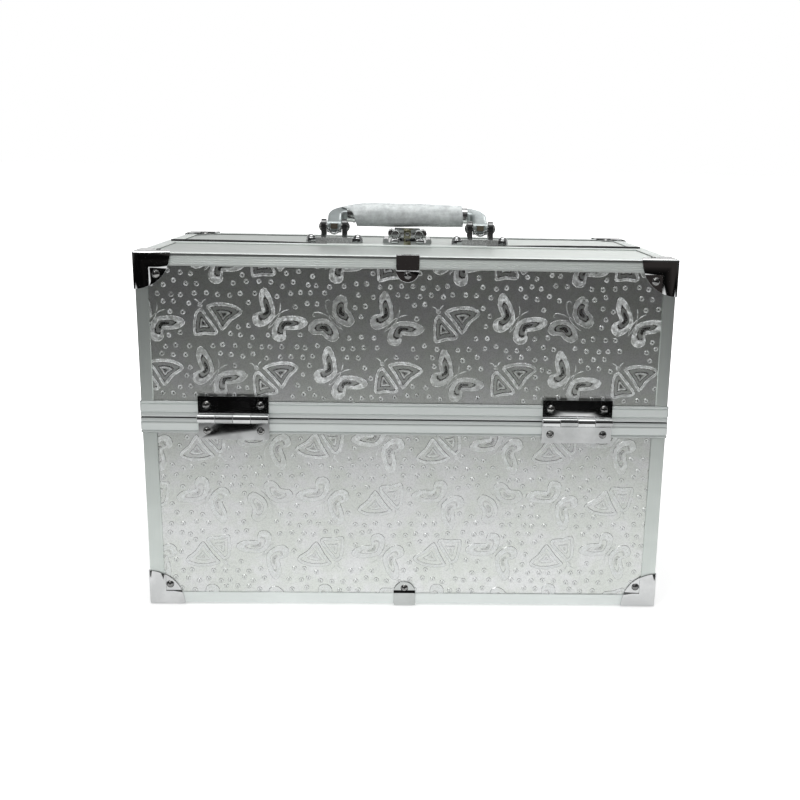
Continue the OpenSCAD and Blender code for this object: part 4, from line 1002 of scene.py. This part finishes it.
def floorPaper(s):
    # White paper, which only glossy rays see fall off to dark, past the near distance from the case's foot.
    m, t, p, at = newTree("floorPaper")
    out = p.outputs["BSDF"].links[0].to_node
    p.inputs["Base Color"].default_value = (0.9, 0.9, 0.9, 1)
    p.inputs["Roughness"].default_value = 0.9
    p.inputs["Specular IOR Level"].default_value = 0.0
    # distance to a rectangle under the case: length of max(|p| - half size, 0)
    middle = calcVector(t, "SUBTRACT", at, (s["middle"], 0.0, 0.0))
    past = calcVector(t, "SUBTRACT", calcVector(t, "ABSOLUTE", middle), s["foot"] + (1.0,))
    clip = calcVector(t, "MAXIMUM", past, (0.0, 0.0, 0.0))
    length = put(t, "ShaderNodeVectorMath", operation="LENGTH", Vector=clip).outputs["Value"]
    path = t.nodes.new("ShaderNodeLightPath")
    glossy, camera = path.outputs["Is Glossy Ray"], path.outputs["Is Camera Ray"]
    away = calc(t, "MULTIPLY", spread(t, length, s["near"], s["far"], kind="SMOOTHSTEP"), glossy)
    # the far floor is black on the left and a dark warm grey on the right, more so with the distance
    across = spread(t, axis(t, at, "X"), *s["farTurn"])
    warmth = calc(t, "MULTIPLY", across, spread(t, length, *s["farRise"]))
    tones = ramp(t, warmth, [(0.0, s["farLeft"]), (1.0, s["farRight"])])
    dark = put(t, "ShaderNodeEmission", Color=tones, Strength=1.0).outputs[0]
    # near the case the paper glows a little, for the camera and for glossy rays
    white = spread(t, length, *s["fade"], s["lift"], kind="SMOOTHSTEP")
    shine = spread(t, length, *s["glossFade"], *s["glossLift"], kind="SMOOTHSTEP")
    gain = calc(t, "ADD", calc(t, "MULTIPLY", camera, white), calc(t, "MULTIPLY", glossy, shine))
    glow = put(t, "ShaderNodeEmission", Color=plainWhite, Strength=gain).outputs[0]
    paper = feed(t, t.nodes.new("ShaderNodeAddShader"), p.outputs["BSDF"], glow)
    t.links.new(mixShader(t, away, paper, dark), out.inputs["Surface"])
    return m


def makeFloor(s, count=96):
    # A round floor: a fan of triangles about its middle.
    a, c = turns(count), np.arange(count) + 1
    rim = np.stack([np.cos(a) * s["floorSize"], np.sin(a) * s["floorSize"], np.full(count, s["floorZ"])], 1)
    faces = np.stack([np.zeros(count, int), c, np.roll(c, -1)], 1)
    mesh = bpy.data.meshes.new("floor")
    mesh.from_pydata([(0.0, 0.0, s["floorZ"])] + rim.tolist(), [], faces.tolist())
    floor = bpy.data.objects.new("floor", mesh)
    bpy.context.scene.collection.objects.link(floor)
    mesh.materials.append(floorPaper(s))


def makeWorld(s):
    # Camera rays see white. Other rays see a plain pale dome; glossy rays a pale backdrop up to mid height.
    world = bpy.data.worlds.new("studio")
    bpy.context.scene.world = world
    world.use_nodes = True
    t = world.node_tree
    t.nodes.clear()
    out = t.nodes.new("ShaderNodeOutputWorld")
    path = t.nodes.new("ShaderNodeLightPath")
    at = t.nodes.new("ShaderNodeTexCoord").outputs["Generated"]
    height = axis(t, at, "Z")
    side = spread(t, axis(t, at, "Y"), *s["turn"], kind="SMOOTHSTEP")
    room = blend(t, "MIX", side, ramp(t, height, s["before"]), ramp(t, height, s["behind"]))
    soft, shine, white = (put(t, "ShaderNodeBackground", Color=colour, Strength=k).outputs[0]
                          for colour, k in ((plainWhite, s["worldDiffuse"]), (room, 1.0), (plainWhite, 1.0)))
    seen = calc(t, "MAXIMUM", path.outputs["Is Camera Ray"], path.outputs["Is Transmission Ray"])
    others = mixShader(t, path.outputs["Is Glossy Ray"], soft, shine)
    t.links.new(mixShader(t, seen, others, white), out.inputs["Surface"])


def addLamp(name, place, target, size, power):
    data = bpy.data.lights.new(name, "AREA")
    data.shape = "RECTANGLE"
    data.size, data.size_y = size
    data.energy = power
    lamp = bpy.data.objects.new(name, data)
    aim = (Vector(target) - Vector(place)).to_track_quat("-Z", "Y")
    lamp.matrix_world = Matrix.Translation(place) @ aim.to_matrix().to_4x4()
    bpy.context.scene.collection.objects.link(lamp)


makeFloor(stageLook)
makeWorld(stageLook)
for name, lamp in lamps.items():
    addLamp(name, **lamp)
bpy.context.scene.view_settings.view_transform = "Standard"
print("stage: floor, world and lamps set")
